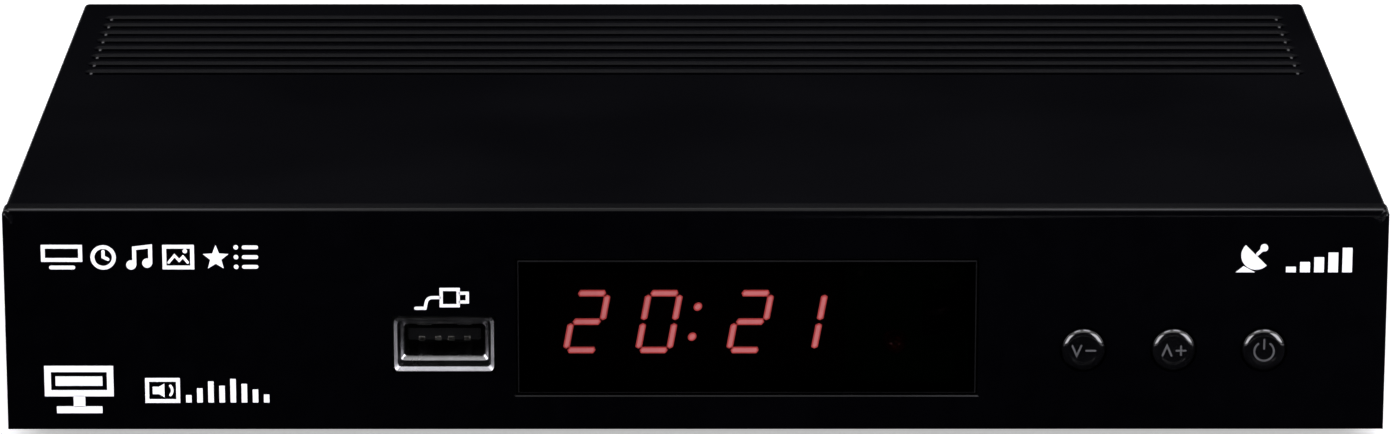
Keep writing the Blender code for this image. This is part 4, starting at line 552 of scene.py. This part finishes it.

# Front socket
# A plated steel shell, folded round a black tongue with four plated contacts; the tongue is coloured darker
# than the other black mouldings, a painted shade inside the mouth. Its mouth has a rolled lip and a flange
# with brushed sides in the bezel's opening; those sideways faces are rougher and coloured paler, a painted
# highlight. Leaf springs inside grip the plug.
dull_steel = made_of(
    "dull plated sheet", noise=(900, 220), rough=(0.2, 0.28), metallic=1, stretch=(1, 0.15, 1),
    tones=((0.27, 0.27, 0.28), (0.37, 0.37, 0.38)),
)
# Paler than the dull plated sheet: the flange's sideways faces get a painted highlight, as well as a rougher
# finish.
brushed_steel_painted_highlight = made_of(
    "brushed plated sheet, painted highlight", noise=(900, 220), rough=(0.42, 0.52), metallic=1, stretch=(1, 0.15, 1),
    tones=((0.5, 0.5, 0.51), (0.62, 0.62, 0.63)),
)
# Darker than the black moulding: painted shade inside the socket's mouth.
made_of(
    "socket tongue, painted shade", "usb_tongue", noise=(2600, 150), rough=(0.4, 0.55), relief=0.00003, specular=0.15,
    tones=((0.0015, 0.0015, 0.0018), (0.0035, 0.0035, 0.004)),
)
shell_low, shell_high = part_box("usb_shell")
mouth_across, _, mouth_height = middle_of("usb_shell")
inner_width, inner_height = 0.0125, 0.00512
flare_width = shell_high.x - shell_low.x - inner_width
flare_height = shell_high.z - shell_low.z - inner_height


def only(kind, parts):
    """The parts of one kind, out of what a mesh operator made."""
    return [part for part in parts if isinstance(part, kind)]


def edges_between(mesh, fits):
    """The edges of a mesh whose two ends both fit."""
    return [edge for edge in mesh.edges if all(fits(vert) for vert in edge.verts)]


def rounded(mesh, parts, reach, segments, affect="EDGES"):
    """Rounds edges or corners of a mesh, from so many metres to each side of them."""
    shape = {"offset": reach, "segments": segments, "profile": 0.5, "affect": affect, "material": -1}
    return bmesh.ops.bevel(mesh, geom=parts, **shape)["faces"]


def shift(mesh, verts, way):
    """Moves points of a mesh."""
    bmesh.ops.translate(mesh, vec=way, verts=verts)


def ring_on(mesh, edges, back, spread, shrink):
    """Carries an open ring on, to a new distance back and out by a share of the whole flare."""
    made = bmesh.ops.extrude_edge_only(mesh, edges=edges)["geom"]
    verts = only(bmesh.types.BMVert, made)
    mouth = ((inner_width, flare_width), (inner_height, flare_height))
    wider, higher = [(size + spread * flare) / (size + shrink * flare) for size, flare in mouth]
    centre = Matrix.Translation((-mouth_across, 0, -mouth_height))
    bmesh.ops.scale(mesh, vec=(wider, 1, higher), space=centre, verts=verts)
    shift(mesh, verts, (0, back - verts[0].co.y, 0))
    return only(bmesh.types.BMEdge, made)


shell = bmesh.new()
bmesh.ops.create_grid(shell, x_segments=1, y_segments=1, size=0.5)
bmesh.ops.scale(shell, vec=(inner_width, inner_height, 1), verts=shell.verts)
rounded(shell, shell.verts[:], 0.0005, 5, "VERTICES")
bmesh.ops.rotate(shell, matrix=Matrix.Rotation(math.radians(90), 3, "X"), verts=shell.verts)
shift(shell, shell.verts, (mouth_across, shell_high.y, mouth_height))
first_ring = shell.edges[:]
ring, spread = first_ring, 0.0
bmesh.ops.delete(shell, geom=shell.faces[:], context="FACES_ONLY")
lip = [(0.0026, 0.0), (0.00232, 0.165), (0.0023, 0.2), (0.00208, 0.33), (0.00206, 0.35), (0.0032, 0.37)]
lip += [(0.0032, 0.62), (0.0006, 0.655), (0.00054, 0.67), (0.00002, 0.985), (0.0, 1.0), (0.0006, 1.0)]
lip += [(0.001, 0.8), (0.0033, 0.8), (0.0033, 0.18), (shell_high.y - shell_low.y, 0.18)]
for depth, wider in lip:
    ring = ring_on(shell, ring, shell_low.y + depth, wider, spread)
    spread = wider
bmesh.ops.bridge_loops(shell, edges=ring + first_ring)
bmesh.ops.recalc_face_normals(shell, faces=shell.faces)
# Sideways faces of the flange take the rougher sheet, whose paler colour is a painted highlight.
for face in shell.faces:
    on_lip = face.calc_center_median().y < shell_low.y + 0.0005
    if on_lip and abs(face.normal.x) > 0.3 and face.normal.z > -0.3:
        face.material_index = 1


def leaf_spring(mesh, across, root_height, bow):
    """A strip of the shell that is cut free on three sides and bowed into the mouth."""
    width, length = 0.0022, 0.0078
    strip = bmesh.ops.create_grid(mesh, x_segments=1, y_segments=10, size=0.5)["verts"]
    bmesh.ops.scale(mesh, vec=(width, length, 1), verts=strip)
    for vert in strip:
        vert.co.z = bow * math.sin((0.5 - vert.co.y / length) * math.pi) ** 2
    shift(mesh, strip, (across, shell_low.y + 0.0067, root_height))
    faces = {face for vert in strip for face in vert.link_faces}
    bmesh.ops.solidify(mesh, geom=list(faces), thickness=0.00015)


for offset in (-0.0031, 0.0031):
    leaf_spring(shell, mouth_across + offset, mouth_height - inner_height / 2 + 0.0001, 0.0006)
    leaf_spring(shell, mouth_across + offset, mouth_height + inner_height / 2 - 0.0001, -0.0005)
fit("flared_shell", shell, [dull_steel, brushed_steel_painted_highlight], ("usb_shell",))

blade_top = mouth_height - 0.00008
blade_low, tip = blade_top - 0.00012, shell_low.y + 0.0031
mouth_contacts = bmesh.new()
for offset in (-0.0035, -0.001, 0.001, 0.0035):
    left, right = mouth_across + offset - 0.0005, mouth_across + offset + 0.0005
    block(mouth_contacts, (left, tip, blade_low), (right, tip + 0.0085, blade_top))
    curl = block(mouth_contacts, (left, tip - 0.00018, blade_low), (right, tip, blade_top + 0.0006))
    ahead = [vert for vert in curl if vert.co.y < tip - 0.0001]
    rounded(mouth_contacts, edges_between(mouth_contacts, lambda vert: vert in ahead), 0.00007, 2)
fit("mouth_contacts", mouth_contacts, [nickel])

# Clock display
# A light-bar module: a black potted housing with seven-bar digits that lean 10.4 degrees. The bars that
# spell the time glow red with a paler core, and the rest stay dark.
housing_low, housing_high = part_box("digit_module")
digit_height, digit_width, bar_width, bar_gap = 0.0101, 0.0058, 0.001, 0.00025
digit_centre, digit_lean = (housing_low.z + housing_high.z) / 2, math.tan(math.radians(10.4))
housing_black = made_of(
    "display potting", noise=(2600, 200), rough=(0.55, 0.7), relief=0.00002, specular=0.2,
    tones=((0.002, 0.0015, 0.0015), (0.004, 0.003, 0.003)),
)
housing = bmesh.new()
block(housing, (housing_low.x, housing_low.y + 0.00015, housing_low.z), housing_high)
rounded(housing, housing.edges[:], 0.0004, 3)
fit("display_housing", housing, [housing_black], ("digit_module",))


def glowing(name, glow, strength):
    """A light bar's face: diffusing resin, lit a little unevenly from the chip behind it."""
    material = made_of(
        name, noise=(1500, 500), rough=(0.35, 0.5), tones=((0.2, 0.01, 0.008), (0.3, 0.02, 0.015)),
    )
    tree, sockets = material.node_tree, shader_sockets(material)
    deep = [0.82 * part for part in glow]
    uneven = shader_node(tree, "TexNoise", {"Vector": object_place(tree), "Scale": 900.0, "Detail": 1.0})
    lit = tint(tree, uneven.outputs["Fac"], (*deep, 1.0), (*glow, 1.0))
    tree.links.new(lit, sockets["Emission Color"])
    sockets["Emission Strength"].default_value = strength
    return material


bar_rim = glowing("glowing bar rim", (1.0, 0.14, 0.145), 2.3)
bar_core = glowing("glowing bar core", (1.0, 0.335, 0.36), 3.3)
bar_dark = made_of(
    "unlit bar", noise=(1500, 500), rough=(0.4, 0.55), specular=0.2,
    tones=((0.004, 0.0012, 0.0012), (0.007, 0.002, 0.002)),
)


def light_bar(mesh, across, height, length, level):
    """One long six-sided bar in the plane of the display, pointed at both ends."""
    radius = bar_width / math.sqrt(3)
    bar = bmesh.ops.create_circle(mesh, cap_ends=True, segments=6, radius=radius)["verts"]
    for side in (1, -1):
        end = [vert for vert in bar if vert.co.y * side > 1e-6]
        shift(mesh, end, (0, side * (length / 2 - radius), 0))
    if level:
        bmesh.ops.rotate(mesh, matrix=Matrix.Rotation(math.radians(90), 3, "Z"), verts=bar)
    shift(mesh, bar, (across, height, 0))


def stand_bars(mesh, name, materials):
    """Leans the flat bars, stands them up in front of the housing and makes them solid."""
    lean = Matrix(((1, digit_lean, 0, 0), (0, 1, 0, 0), (0, 0, 1, 0), (0, 0, 0, 1)))
    bmesh.ops.transform(mesh, matrix=lean, verts=mesh.verts)
    mesh.normal_update()
    bmesh.ops.reverse_faces(mesh, faces=[face for face in mesh.faces if face.normal.z < 0])
    bar_rise = 0.00025
    lifted = bmesh.ops.extrude_face_region(mesh, geom=mesh.faces[:])["geom"]
    shift(mesh, only(bmesh.types.BMVert, lifted), (0, 0, bar_rise))
    tops = only(bmesh.types.BMFace, lifted)
    bmesh.ops.inset_individual(mesh, faces=tops, thickness=0.00022)
    for face in tops:
        face.material_index = len(materials) - 1
    foot = Matrix.Translation((0, housing_low.y + bar_rise, digit_centre))
    upright = Matrix.Rotation(math.radians(90), 4, "X")
    bmesh.ops.transform(mesh, matrix=foot @ upright, verts=mesh.verts)
    bmesh.ops.recalc_face_normals(mesh, faces=mesh.faces)
    fit(name, mesh, materials)


lit, dark = bmesh.new(), bmesh.new()
half_width, half_height = (digit_width - bar_width) / 2, (digit_height - bar_width) / 2
digits = ((-0.01675, "2"), (-0.00565, "0"), (0.00835, "2"), (0.0166, "1"))
uprights = {"2": ((1, 1), (-1, -1)), "0": ((1, 1), (1, -1), (-1, 1), (-1, -1)), "1": ((1, 1), (1, -1))}
levels = {"2": (-1, 0, 1), "0": (-1, 1), "1": ()}
upright_length, level_length = half_height - 2 * bar_gap, 2 * half_width - 2 * bar_gap
for across, shown in digits:
    for side in (-1, 1):
        for part in (-1, 1):
            mesh = lit if (side, part) in uprights[shown] else dark
            light_bar(mesh, across + side * half_width, part * half_height / 2, upright_length, False)
    for level in (-1, 0, 1):
        mesh = lit if level in levels[shown] else dark
        light_bar(mesh, across, level * half_height, level_length, True)
for part in (-1, 1):
    dot = bmesh.ops.create_circle(lit, cap_ends=True, segments=20, radius=0.00065)["verts"]
    shift(lit, dot, (-0.00012, part * 0.0024, 0))
stand_bars(lit, "glowing_bars", [bar_rim, bar_core])
stand_bars(dark, "unlit_bars", [bar_dark])

# Standby lamp and infrared receiver
# A small lamp of red cast resin, unlit while the clock shows, and the dark moulded lens of the receiver for
# the remote control. Both are soldered to the front board and look out through the window.
made_of(
    "lamp resin", "standby_led", noise=(900, 500), rough=(0.12, 0.2),
    tones=((0.1, 0.006, 0.005), (0.16, 0.01, 0.008)),
)
made_of(
    "receiver lens", "ir_receiver", noise=(900, 500), rough=(0.14, 0.24),
    tones=((0.004, 0.002, 0.003), (0.008, 0.004, 0.006)),
)

# Display window
# Polished smoked acrylic, clipped into the bezel with its face a fifth of a millimetre under the bezel's. Its
# edge is broken by a small unpolished chamfer, which shows as a thin grey outline.
window_low, window_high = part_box("display_window")
smoked = made_of(
    "smoked acrylic", noise=(300, 25), rough=(0.015, 0.04), relief=0.000002, specular=0.2,
    tones=((0.16, 0.13, 0.13), (0.2, 0.165, 0.165)),
)
shader_sockets(smoked)["Transmission Weight"].default_value = 1.0
shader_sockets(smoked)["IOR"].default_value = 1.49
sawn_edge = made_of(
    "unpolished edge", noise=(4000, 50), rough=(0.6, 0.8), specular=0.1,
    tones=((0.004, 0.004, 0.0046), (0.008, 0.008, 0.009)),
)
window, window_sink, window_chamfer = bmesh.new(), 0.0002, 0.0002
block(window, window_low + Vector((0, window_sink, 0)), window_high)
window_front = window_low.y + window_sink
front_rim = edges_between(window, lambda vert: vert.co.y < window_front + 1e-5)
for face in rounded(window, front_rim, window_chamfer, 1):
    face.material_index = 1
fit("smoked_window", window, [smoked, sawn_edge], ("display_window",), crease=20)

# Front bezel
# A black moulding, polished on its face and etched on its sides, with a wide shallow slope round the face. It
# clips to the tray and cover by its neck. Its rounded outer edge catches the light, and its upper corners
# follow the folds of the cover.
gloss_black = made_of(
    "polished black plastic", noise=(260, 14), rough=(0.1, 0.15), relief=0.000002, specular=0.25,
    tones=((0.0003, 0.0003, 0.0006), (0.0008, 0.0008, 0.0013)),
)
satin_side = etched_plastic.copy()
satin_side.name = "satin black plastic"
shader_sockets(satin_side)["Specular IOR Level"].default_value = 0.25


def joined_copy(name):
    """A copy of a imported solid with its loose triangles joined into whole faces."""
    mesh = bmesh.new()
    mesh.from_mesh(nodes[name].data)
    bmesh.ops.remove_doubles(mesh, verts=mesh.verts, dist=2e-6)
    bmesh.ops.dissolve_limit(mesh, angle_limit=math.radians(0.5), verts=mesh.verts, edges=mesh.edges)
    return mesh


bezel_low, bezel_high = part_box("front_bezel")
slope_depth, slope_width = 0.0005, 0.002
bezel = joined_copy("front_bezel")


def from_outline(spot):
    """How far a point lies inside the bezel's outline, seen from the front."""
    return min(spot.x - bezel_low.x, bezel_high.x - spot.x, spot.z - bezel_low.z, bezel_high.z - spot.z)


def on_corner(edge):
    """Whether an edge is an upper corner of the bezel, or its run on across the slope to the face."""
    for vert in edge.verts:
        beside = min(vert.co.x - bezel_low.x, bezel_high.x - vert.co.x)
        if abs(beside - bezel_high.z + vert.co.z) > 1e-5 or beside > slope_width + 0.0001:
            return False
    return abs(edge.verts[0].co.y - edge.verts[1].co.y) > slope_depth - 0.0001


def on_rim(vert):
    """Whether a point lies on the bezel's outline, where the slope meets the sides."""
    return from_outline(vert.co) < 0.0003 and abs(vert.co.y - bezel_low.y - slope_depth) < 1e-5


def by_window(vert):
    """Whether a point lies on the front edge of the window's seat."""
    reach = 0.0004
    beside = min(abs(vert.co.x - window_low.x), abs(vert.co.x - window_high.x)) < reach
    level = min(abs(vert.co.z - window_low.z), abs(vert.co.z - window_high.z)) < reach
    return beside and level and abs(vert.co.y - bezel_low.y) < 1e-5


rounded(bezel, [edge for edge in bezel.edges if on_corner(edge)], 0.0009, 6)
for vert in bezel.verts:
    if vert.co.y < bezel_low.y + slope_depth + 0.0003:
        if from_outline(vert.co) < 0.0003:
            vert.co.y = bezel_low.y + slope_depth
        elif -0.0001 < from_outline(vert.co) - slope_width < 0.0003:
            vert.co.y = bezel_low.y
rounded(bezel, edges_between(bezel, on_rim), 0.0005, 8)
for face in bezel.faces:
    if from_outline(face.calc_center_median()) < 0.0003 and abs(face.normal.y) < 0.1:
        face.material_index = 1
rounded(bezel, edges_between(bezel, by_window), 0.00018, 1)
for vert in bezel.verts:
    vert.co = Vector(min(max(value, low), high) for value, low, high in zip(vert.co, bezel_low, bezel_high))
fit("polished_bezel", bezel, [gloss_black, satin_side], ("front_bezel",), crease=12)

# Printed marks
# White ink, pad-printed on the bezel and three hundredths of a millimetre thick: plain pictures of what the
# receiver does, where a maker would print words. They are drawn in millimetres.
white_ink = made_of(
    "white ink", noise=(3500, 300), rough=(0.4, 0.55), tones=((0.74, 0.74, 0.75), (0.86, 0.86, 0.87)),
)
ink_back, ink_front = bezel_low.y, bezel_low.y - 0.00003


def arc(centre, radius, start, end, steps):
    """Points along a part of a circle, with its angles in degrees."""
    turns = [math.radians(start + (end - start) * step / steps) for step in range(steps + 1)]
    return [(centre[0] + radius * math.cos(turn), centre[1] + radius * math.sin(turn)) for turn in turns]


def raised(mesh, outline, front=ink_front, back=ink_back):
    """A flat shape on an upright face, outlined in millimetres and raised from back to front."""
    foot = mesh.faces.new([mesh.verts.new((x / 1000, back, z / 1000)) for x, z in outline])
    top = bmesh.ops.extrude_face_region(mesh, geom=[foot])["geom"]
    shift(mesh, only(bmesh.types.BMVert, top), (0, front - back, 0))


def disc(mesh, centre, radius, front=ink_front):
    """A round dot."""
    raised(mesh, arc(centre, radius, 0, 345, 23), front)


def line(mesh, points, width=0.6, front=ink_front, back=ink_back):
    """A line with mitred corners and round ends, or a closed one if it comes back to its start."""
    spots = [Vector(point) for point in points]
    closed = (spots[0] - spots[-1]).length < 1e-6
    if closed:
        spots = spots[:-1]
    runs = [(after - before).normalized() for before, after in zip(spots, spots[1:] + spots[:1])]
    sides = []
    for index, spot in enumerate(spots):
        before = runs[index - 1] if closed or index else runs[0]
        after = runs[index] if closed or index < len(spots) - 1 else runs[index - 1]
        across = Vector((-before.y - after.y, before.x + after.x)).normalized()
        reach = across * width / 2 / across.dot(Vector((-before.y, before.x)))
        sides.append((spot + reach, spot - reach))
    if closed:
        for (near, far), (next_near, next_far) in zip(sides, sides[1:] + sides[:1]):
            raised(mesh, (near, next_near, next_far, far), front, back)
        return
    nears, fars = zip(*sides)
    outline = list(nears)
    for spot, run, further in ((spots[-1], runs[-2], fars[::-1]), (spots[0], -runs[0], ())):
        heading = math.degrees(math.atan2(run.y, run.x))
        outline += [*arc(spot, width / 2, heading + 75, heading - 75, 8), *further]
    raised(mesh, outline, front, back)


def panel(mesh, low, high):
    """A filled rectangle of ink."""
    corners = ((low[0] / 1000, ink_front, low[1] / 1000), (high[0] / 1000, ink_back, high[1] / 1000))
    block(mesh, *corners)


def frame_line(mesh, low, high, width=0.6):
    """The outline of a rectangle."""
    line(mesh, [low, (high[0], low[1]), high, (low[0], high[1]), low], width)


def star(centre, outer, inner):
    """The outline of a five-pointed star."""
    return [arc(centre, (outer, inner)[step % 2], 90 + 36 * step, 0, 1)[0] for step in range(10)]


marks = bmesh.new()
frame_line(marks, (-99.8, 29.4), (-94.1, 31.5))
line(marks, [(-98.6, 28.2), (-95.2, 28.2)])
line(marks, arc((-90.6, 29.8), 1.65, 0, 360, 24))
line(marks, [(-90.6, 30.75), (-90.6, 29.85), (-89.9, 29.5)], 0.5)
disc(marks, (-86.35, 28.6), 0.75)
disc(marks, (-83.9, 28.9), 0.75)
note_stems = [(-85.85, 28.6), (-85.85, 31.25), (-83.4, 31.55), (-83.4, 28.9)]
line(marks, note_stems, front=ink_front - 0.000002)
frame_line(marks, (-81.25, 28.2), (-77.0, 31.5))
line(marks, [(-80.6, 29.0), (-79.7, 30.1), (-79.0, 29.3), (-78.4, 29.9), (-77.7, 29.0)], 0.4)
disc(marks, (-78.1, 30.8), 0.35)
raised(marks, star((-73.4, 29.7), 2.05, 0.9))
for height in (28.3, 29.85, 31.4):
    disc(marks, (-70.3, height), 0.36)
    line(marks, [(-69.1, height), (-67.2, height)])
fit("function_marks_left", marks, [white_ink])

marks = bmesh.new()
raised(marks, arc((85.7, 30.1), 2.3, 135, 315, 16))
raised(marks, [(82.6, 27.4), (85.6, 27.4), (83.8, 28.4)])
line(marks, [(85.9, 30.3), (86.8, 31.2)], 0.5, ink_front - 0.000002)
disc(marks, (86.9, 31.3), 0.6, ink_front - 0.000004)
for count in range(5):
    left = 90.3 + 2.15 * count
    panel(marks, (left, 27.4), (left + 1.5, 28.3 + 0.75 * count))
fit("signal_marks_right", marks, [white_ink])

marks = bmesh.new()
frame_line(marks, (-99.6, 8.1), (-90.0, 12.0), 1)
panel(marks, (-98.4, 9.3), (-91.2, 10.8))
panel(marks, (-98.3, 4.9), (-91.3, 6.0))
panel(marks, (-95.7, 5.9), (-93.9, 7.7))
frame_line(marks, (-84.35, 6.85), (-79.6, 10.25))
panel(marks, (-83.5, 7.95), (-82.6, 9.15))
raised(marks, [(-82.6, 8.0), (-81.7, 7.45), (-81.7, 9.65), (-82.6, 9.1)])
line(marks, arc((-81.6, 8.55), 1.1, -42, 42, 8), 0.4)
for count, height in enumerate((1.2, 2.3, 3.4, 2.7, 3.8, 3.0, 2.1, 1.3)):
    left = -78.4 + 1.71 * count
    panel(marks, (left, 6.6), (left + 0.85, 6.6 + height))
fit("picture_and_sound_marks", marks, [white_ink])

marks = bmesh.new()
frame_line(marks, (-39.0, 22.1), (-36.4, 24.7), 0.5)
line(marks, [(-36.1, 22.7), (-35.0, 22.7), (-35.0, 24.1), (-36.1, 24.1)], 0.5)
cord_bend = arc((-40.4, 22.5), 0.9, 100, 170, 6)
line(marks, [(-39.3, 23.4), (-40.4, 23.4)] + cord_bend + [(-41.5, 21.7), (-42.9, 21.7)], 0.5)
fit("plug_mark", marks, [white_ink])

# Push buttons
# Round glossy caps on long stems, held in the bezel by a flange. The face is dished inside a rounded rim,
# and its mark stands raised in grey: less, more and standby; the grey is a painted glint on the raised
# strokes.
# Each button travels 0.5 mm.


def button_cap(mesh, across, height):
    """Spins a cap with its rim, flange and stem."""
    front, flange_front, flange_back, back = -0.0728, -0.0689, -0.0679, -0.0665
    radius, flange_radius, stem_radius = 0.00335, 0.0043, 0.0016
    profile = [(0, front + 0.00008), (0.0018, front + 0.00007), (0.0021, front + 0.00004)]
    for step in range(11):
        turn = math.radians(90 - 9 * step)
        profile.append((radius - 0.00115 * (1 - math.cos(turn)), front + 0.0009 * (1 - math.sin(turn))))
    profile += [(radius, flange_front), (flange_radius, flange_front), (flange_radius, flange_back)]
    profile += [(stem_radius, flange_back), (stem_radius, back), (0, back)]
    turned_back(mesh, profile, across, height, 64)


less = [(0.4, 0.0), (1.8, 0.0)]
button_marks = {
    "down": [[(-1.75, 0.8), (-1.05, -0.8), (-0.35, 0.8)], less],
    "up": [[(-1.75, -0.8), (-1.05, 0.8), (-0.35, -0.8)], less, [(1.1, -0.7), (1.1, 0.7)]],
    "power": [arc((0, -0.1), 1.5, 128, 412, 24), [(0.0, 0.3), (0.0, 1.75)]],
}
gloss_cap = made_of(
    "polished cap", noise=(400, 60), rough=(0.1, 0.18), relief=0.000002, specular=0.7,
    tones=((0.001, 0.001, 0.0013), (0.0022, 0.0022, 0.0027)),
)
shader_sockets(gloss_cap)["Coat Weight"].default_value = 1.0
grey_painted_glint = made_of(
    "grey painted glint", noise=(3500, 600), rough=(0.4, 0.55), tones=((0.05, 0.05, 0.053), (0.075, 0.075, 0.08)),
)
for name, strokes in button_marks.items():
    face_front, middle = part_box(f"button_{name}")[0].y, middle_of(f"button_{name}")
    cap = bmesh.new()
    button_cap(cap, middle.x, middle.z)
    plain = set(cap.faces)
    for count, points in enumerate(strokes):
        moved = [(middle.x * 1000 + x, middle.z * 1000 + z) for x, z in points]
        line(cap, moved, 0.3, face_front + 0.00005 - 0.000002 * count, face_front + 0.0003)
    # The raised strokes are coloured grey, a painted glint.
    for face in set(cap.faces) - plain:
        face.material_index = 1
    finish = [gloss_cap, grey_painted_glint]
    fit(f"moulded_button_{name}", cap, finish, (f"button_{name}",), f"{name}_button", 40)

# Top cover
# The upper half of the housing, in the same etched plastic, screwed from below. Eight long grooves cross its
# rear part between rounded ridges, with slots through their floors for warm air. Inside they are left smooth,
# and coloured darker than the top as a painted shade in the grooves.
cover_low, cover_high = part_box("top_cover")
cover = joined_copy("top_cover")


def among_grooves(spot):
    """Whether a point lies within the part of the cover that the grooves cross, seen from above."""
    return 0.01 < spot.y < cover_high.y - 0.008 and abs(spot.x) < cover_high.x - 0.004


def on_lip(edge):
    """Whether an edge is the lip of a groove, between the top and an upright wall."""
    level = all(abs(vert.co.z - cover_high.z) < 1e-5 for vert in edge.verts)
    inside = all(among_grooves(vert.co) for vert in edge.verts)
    return level and inside and len(edge.link_faces) == 2 and edge.calc_face_angle(0) > 0.5


def at_front(vert):
    """Whether a point lies on the front edge of the top."""
    return abs(vert.co.z - cover_high.z) < 1e-5 and abs(vert.co.y - cover_low.y) < 1e-5


rounded(cover, [edge for edge in cover.edges if on_lip(edge)], 0.0008, 5)
rounded(cover, edges_between(cover, at_front), 0.0003, 3)
# Groove walls and floors get the polished black: smoother, and darker in colour as painted shade in the
# grooves.
for face in cover.faces:
    centre = face.calc_center_median()
    if among_grooves(centre) and cover_high.z - 0.004 < centre.z < cover_high.z - 0.0004:
        face.material_index = 1
fit("grooved_cover", cover, [etched_plastic, gloss_black], ("top_cover",), crease=35)

# Floor, light and camera
# A plain pale floor under a white surround, two broad soft lights from the sides and two weak ones overhead.
# Dark cloths, which only glossy surfaces see, stand all round and lie ahead of the object, as in a studio.
# The one on the floor runs on under the object, a painted shade that glossy surfaces see there.


def seen_straight(tree):
    """One for what the camera sees, straight, reflected or through the window, and nought for light."""
    path = shader_node(tree, "LightPath").outputs
    seen = reckon(tree, "MAXIMUM", path["Is Camera Ray"], path["Is Glossy Ray"])
    return reckon(tree, "MAXIMUM", seen, path["Is Transmission Ray"])


def stage_piece(name, mesh, material):
    """Turns a finished mesh into an object of the scene, with no body of the receiver."""
    obj = placed(name, mesh, [material])
    return obj


floor_look = {"Base Color": (0.9, 0.9, 0.9, 1), "Roughness": 0.8, "Emission Color": (1, 1, 1, 1)}
pale_floor = plain_material("pale floor", floor_look)
floor_tree = pale_floor.node_tree
floor_glow = reckon(floor_tree, "MULTIPLY", seen_straight(floor_tree), 0.45)
floor_tree.links.new(floor_glow, shader_sockets(pale_floor)["Emission Strength"])
floor = bmesh.new()
bmesh.ops.create_circle(floor, cap_ends=True, segments=64, radius=4)
shift(floor, floor.verts, (0, 0, -0.00005))
bmesh.ops.recalc_face_normals(floor, faces=floor.faces)
stage_piece("floor", floor, pale_floor)

cloth_look = {"Base Color": (0, 0, 0, 1), "Roughness": 1, "Specular IOR Level": 0}
black_cloth = plain_material("black cloth", cloth_look)
wall, wall_radius, wall_height = bmesh.new(), 1.7, 1.6
bmesh.ops.create_circle(wall, cap_ends=False, segments=48, radius=wall_radius)
wall_top = only(bmesh.types.BMVert, bmesh.ops.extrude_edge_only(wall, edges=wall.edges[:])["geom"])
shift(wall, wall_top, (0, 0, wall_height))
# The floor cloth runs from ahead of the object to under it; the part under it is painted shade for
# reflections.
floor_cloth_with_painted_shade = bmesh.new()
block(floor_cloth_with_painted_shade, (-0.45, -0.75, 0.0002), (0.45, 0.06, 0.0004))
for name, mesh in (("dark_surround", wall), ("dark_front_and_painted_under_shade", floor_cloth_with_painted_shade)):
    cloth = stage_piece(name, mesh, black_cloth)
    for rays in ("camera", "diffuse", "volume_scatter", "shadow"):
        setattr(cloth, f"visible_{rays}", False)

world = bpy.data.worlds.new("white surround")
bpy.context.scene.world = world
world.use_nodes = True
tree = world.node_tree
tree.nodes["Background"].inputs["Color"].default_value = (1.0, 1.0, 1.0, 1.0)
tree.links.new(from_to(tree, seen_straight(tree), 0.35, 1.0), tree.nodes["Background"].inputs["Strength"])


def soft_light(name, place, target, size, power, color):
    """A rectangular light at a place, turned towards a target."""
    data = bpy.data.lights.new(name, "AREA")
    data.shape = "RECTANGLE"
    data.size, data.size_y = size
    data.energy = power
    data.color = color
    obj = added(name, data)
    obj.location = place
    obj.rotation_euler = (Vector(target) - Vector(place)).to_track_quat("-Z", "Y").to_euler()


side_tint, upper_tint = (0.95, 0.94, 1.0), (0.9, 0.88, 1.0)
soft_light("left_light", (-0.95, -0.7, 0.5), (0, 0, 0.03), (0.9, 0.8), 12.0, side_tint)
soft_light("right_light", (0.95, -0.7, 0.5), (0, 0, 0.03), (0.9, 0.8), 13.0, side_tint)
soft_light("upper_left_light", (-0.42, -0.2, 1.3), (-0.42, 0, 0.03), (0.56, 0.6), 3.6, upper_tint)
soft_light("upper_right_light", (0.4, -0.2, 1.3), (0.4, 0, 0.03), (0.56, 0.6), 4.2, upper_tint)

camera = added("camera", bpy.data.cameras.new("camera"))
camera.data.sensor_width = 36.0
camera.data.lens = 159.98
camera.data.clip_start = 0.01
camera.location = (-0.0025, -0.9848, 0.2876)
aim = Matrix.Identity(3)
for turn, axis in ((-0.177, "Z"), (74.601, "X"), (0.038, "Z")):
    aim = aim @ Matrix.Rotation(math.radians(turn), 3, axis)
camera.rotation_euler = aim.to_euler()
bpy.context.scene.camera = camera
bpy.context.scene.view_settings.view_transform = "Standard"
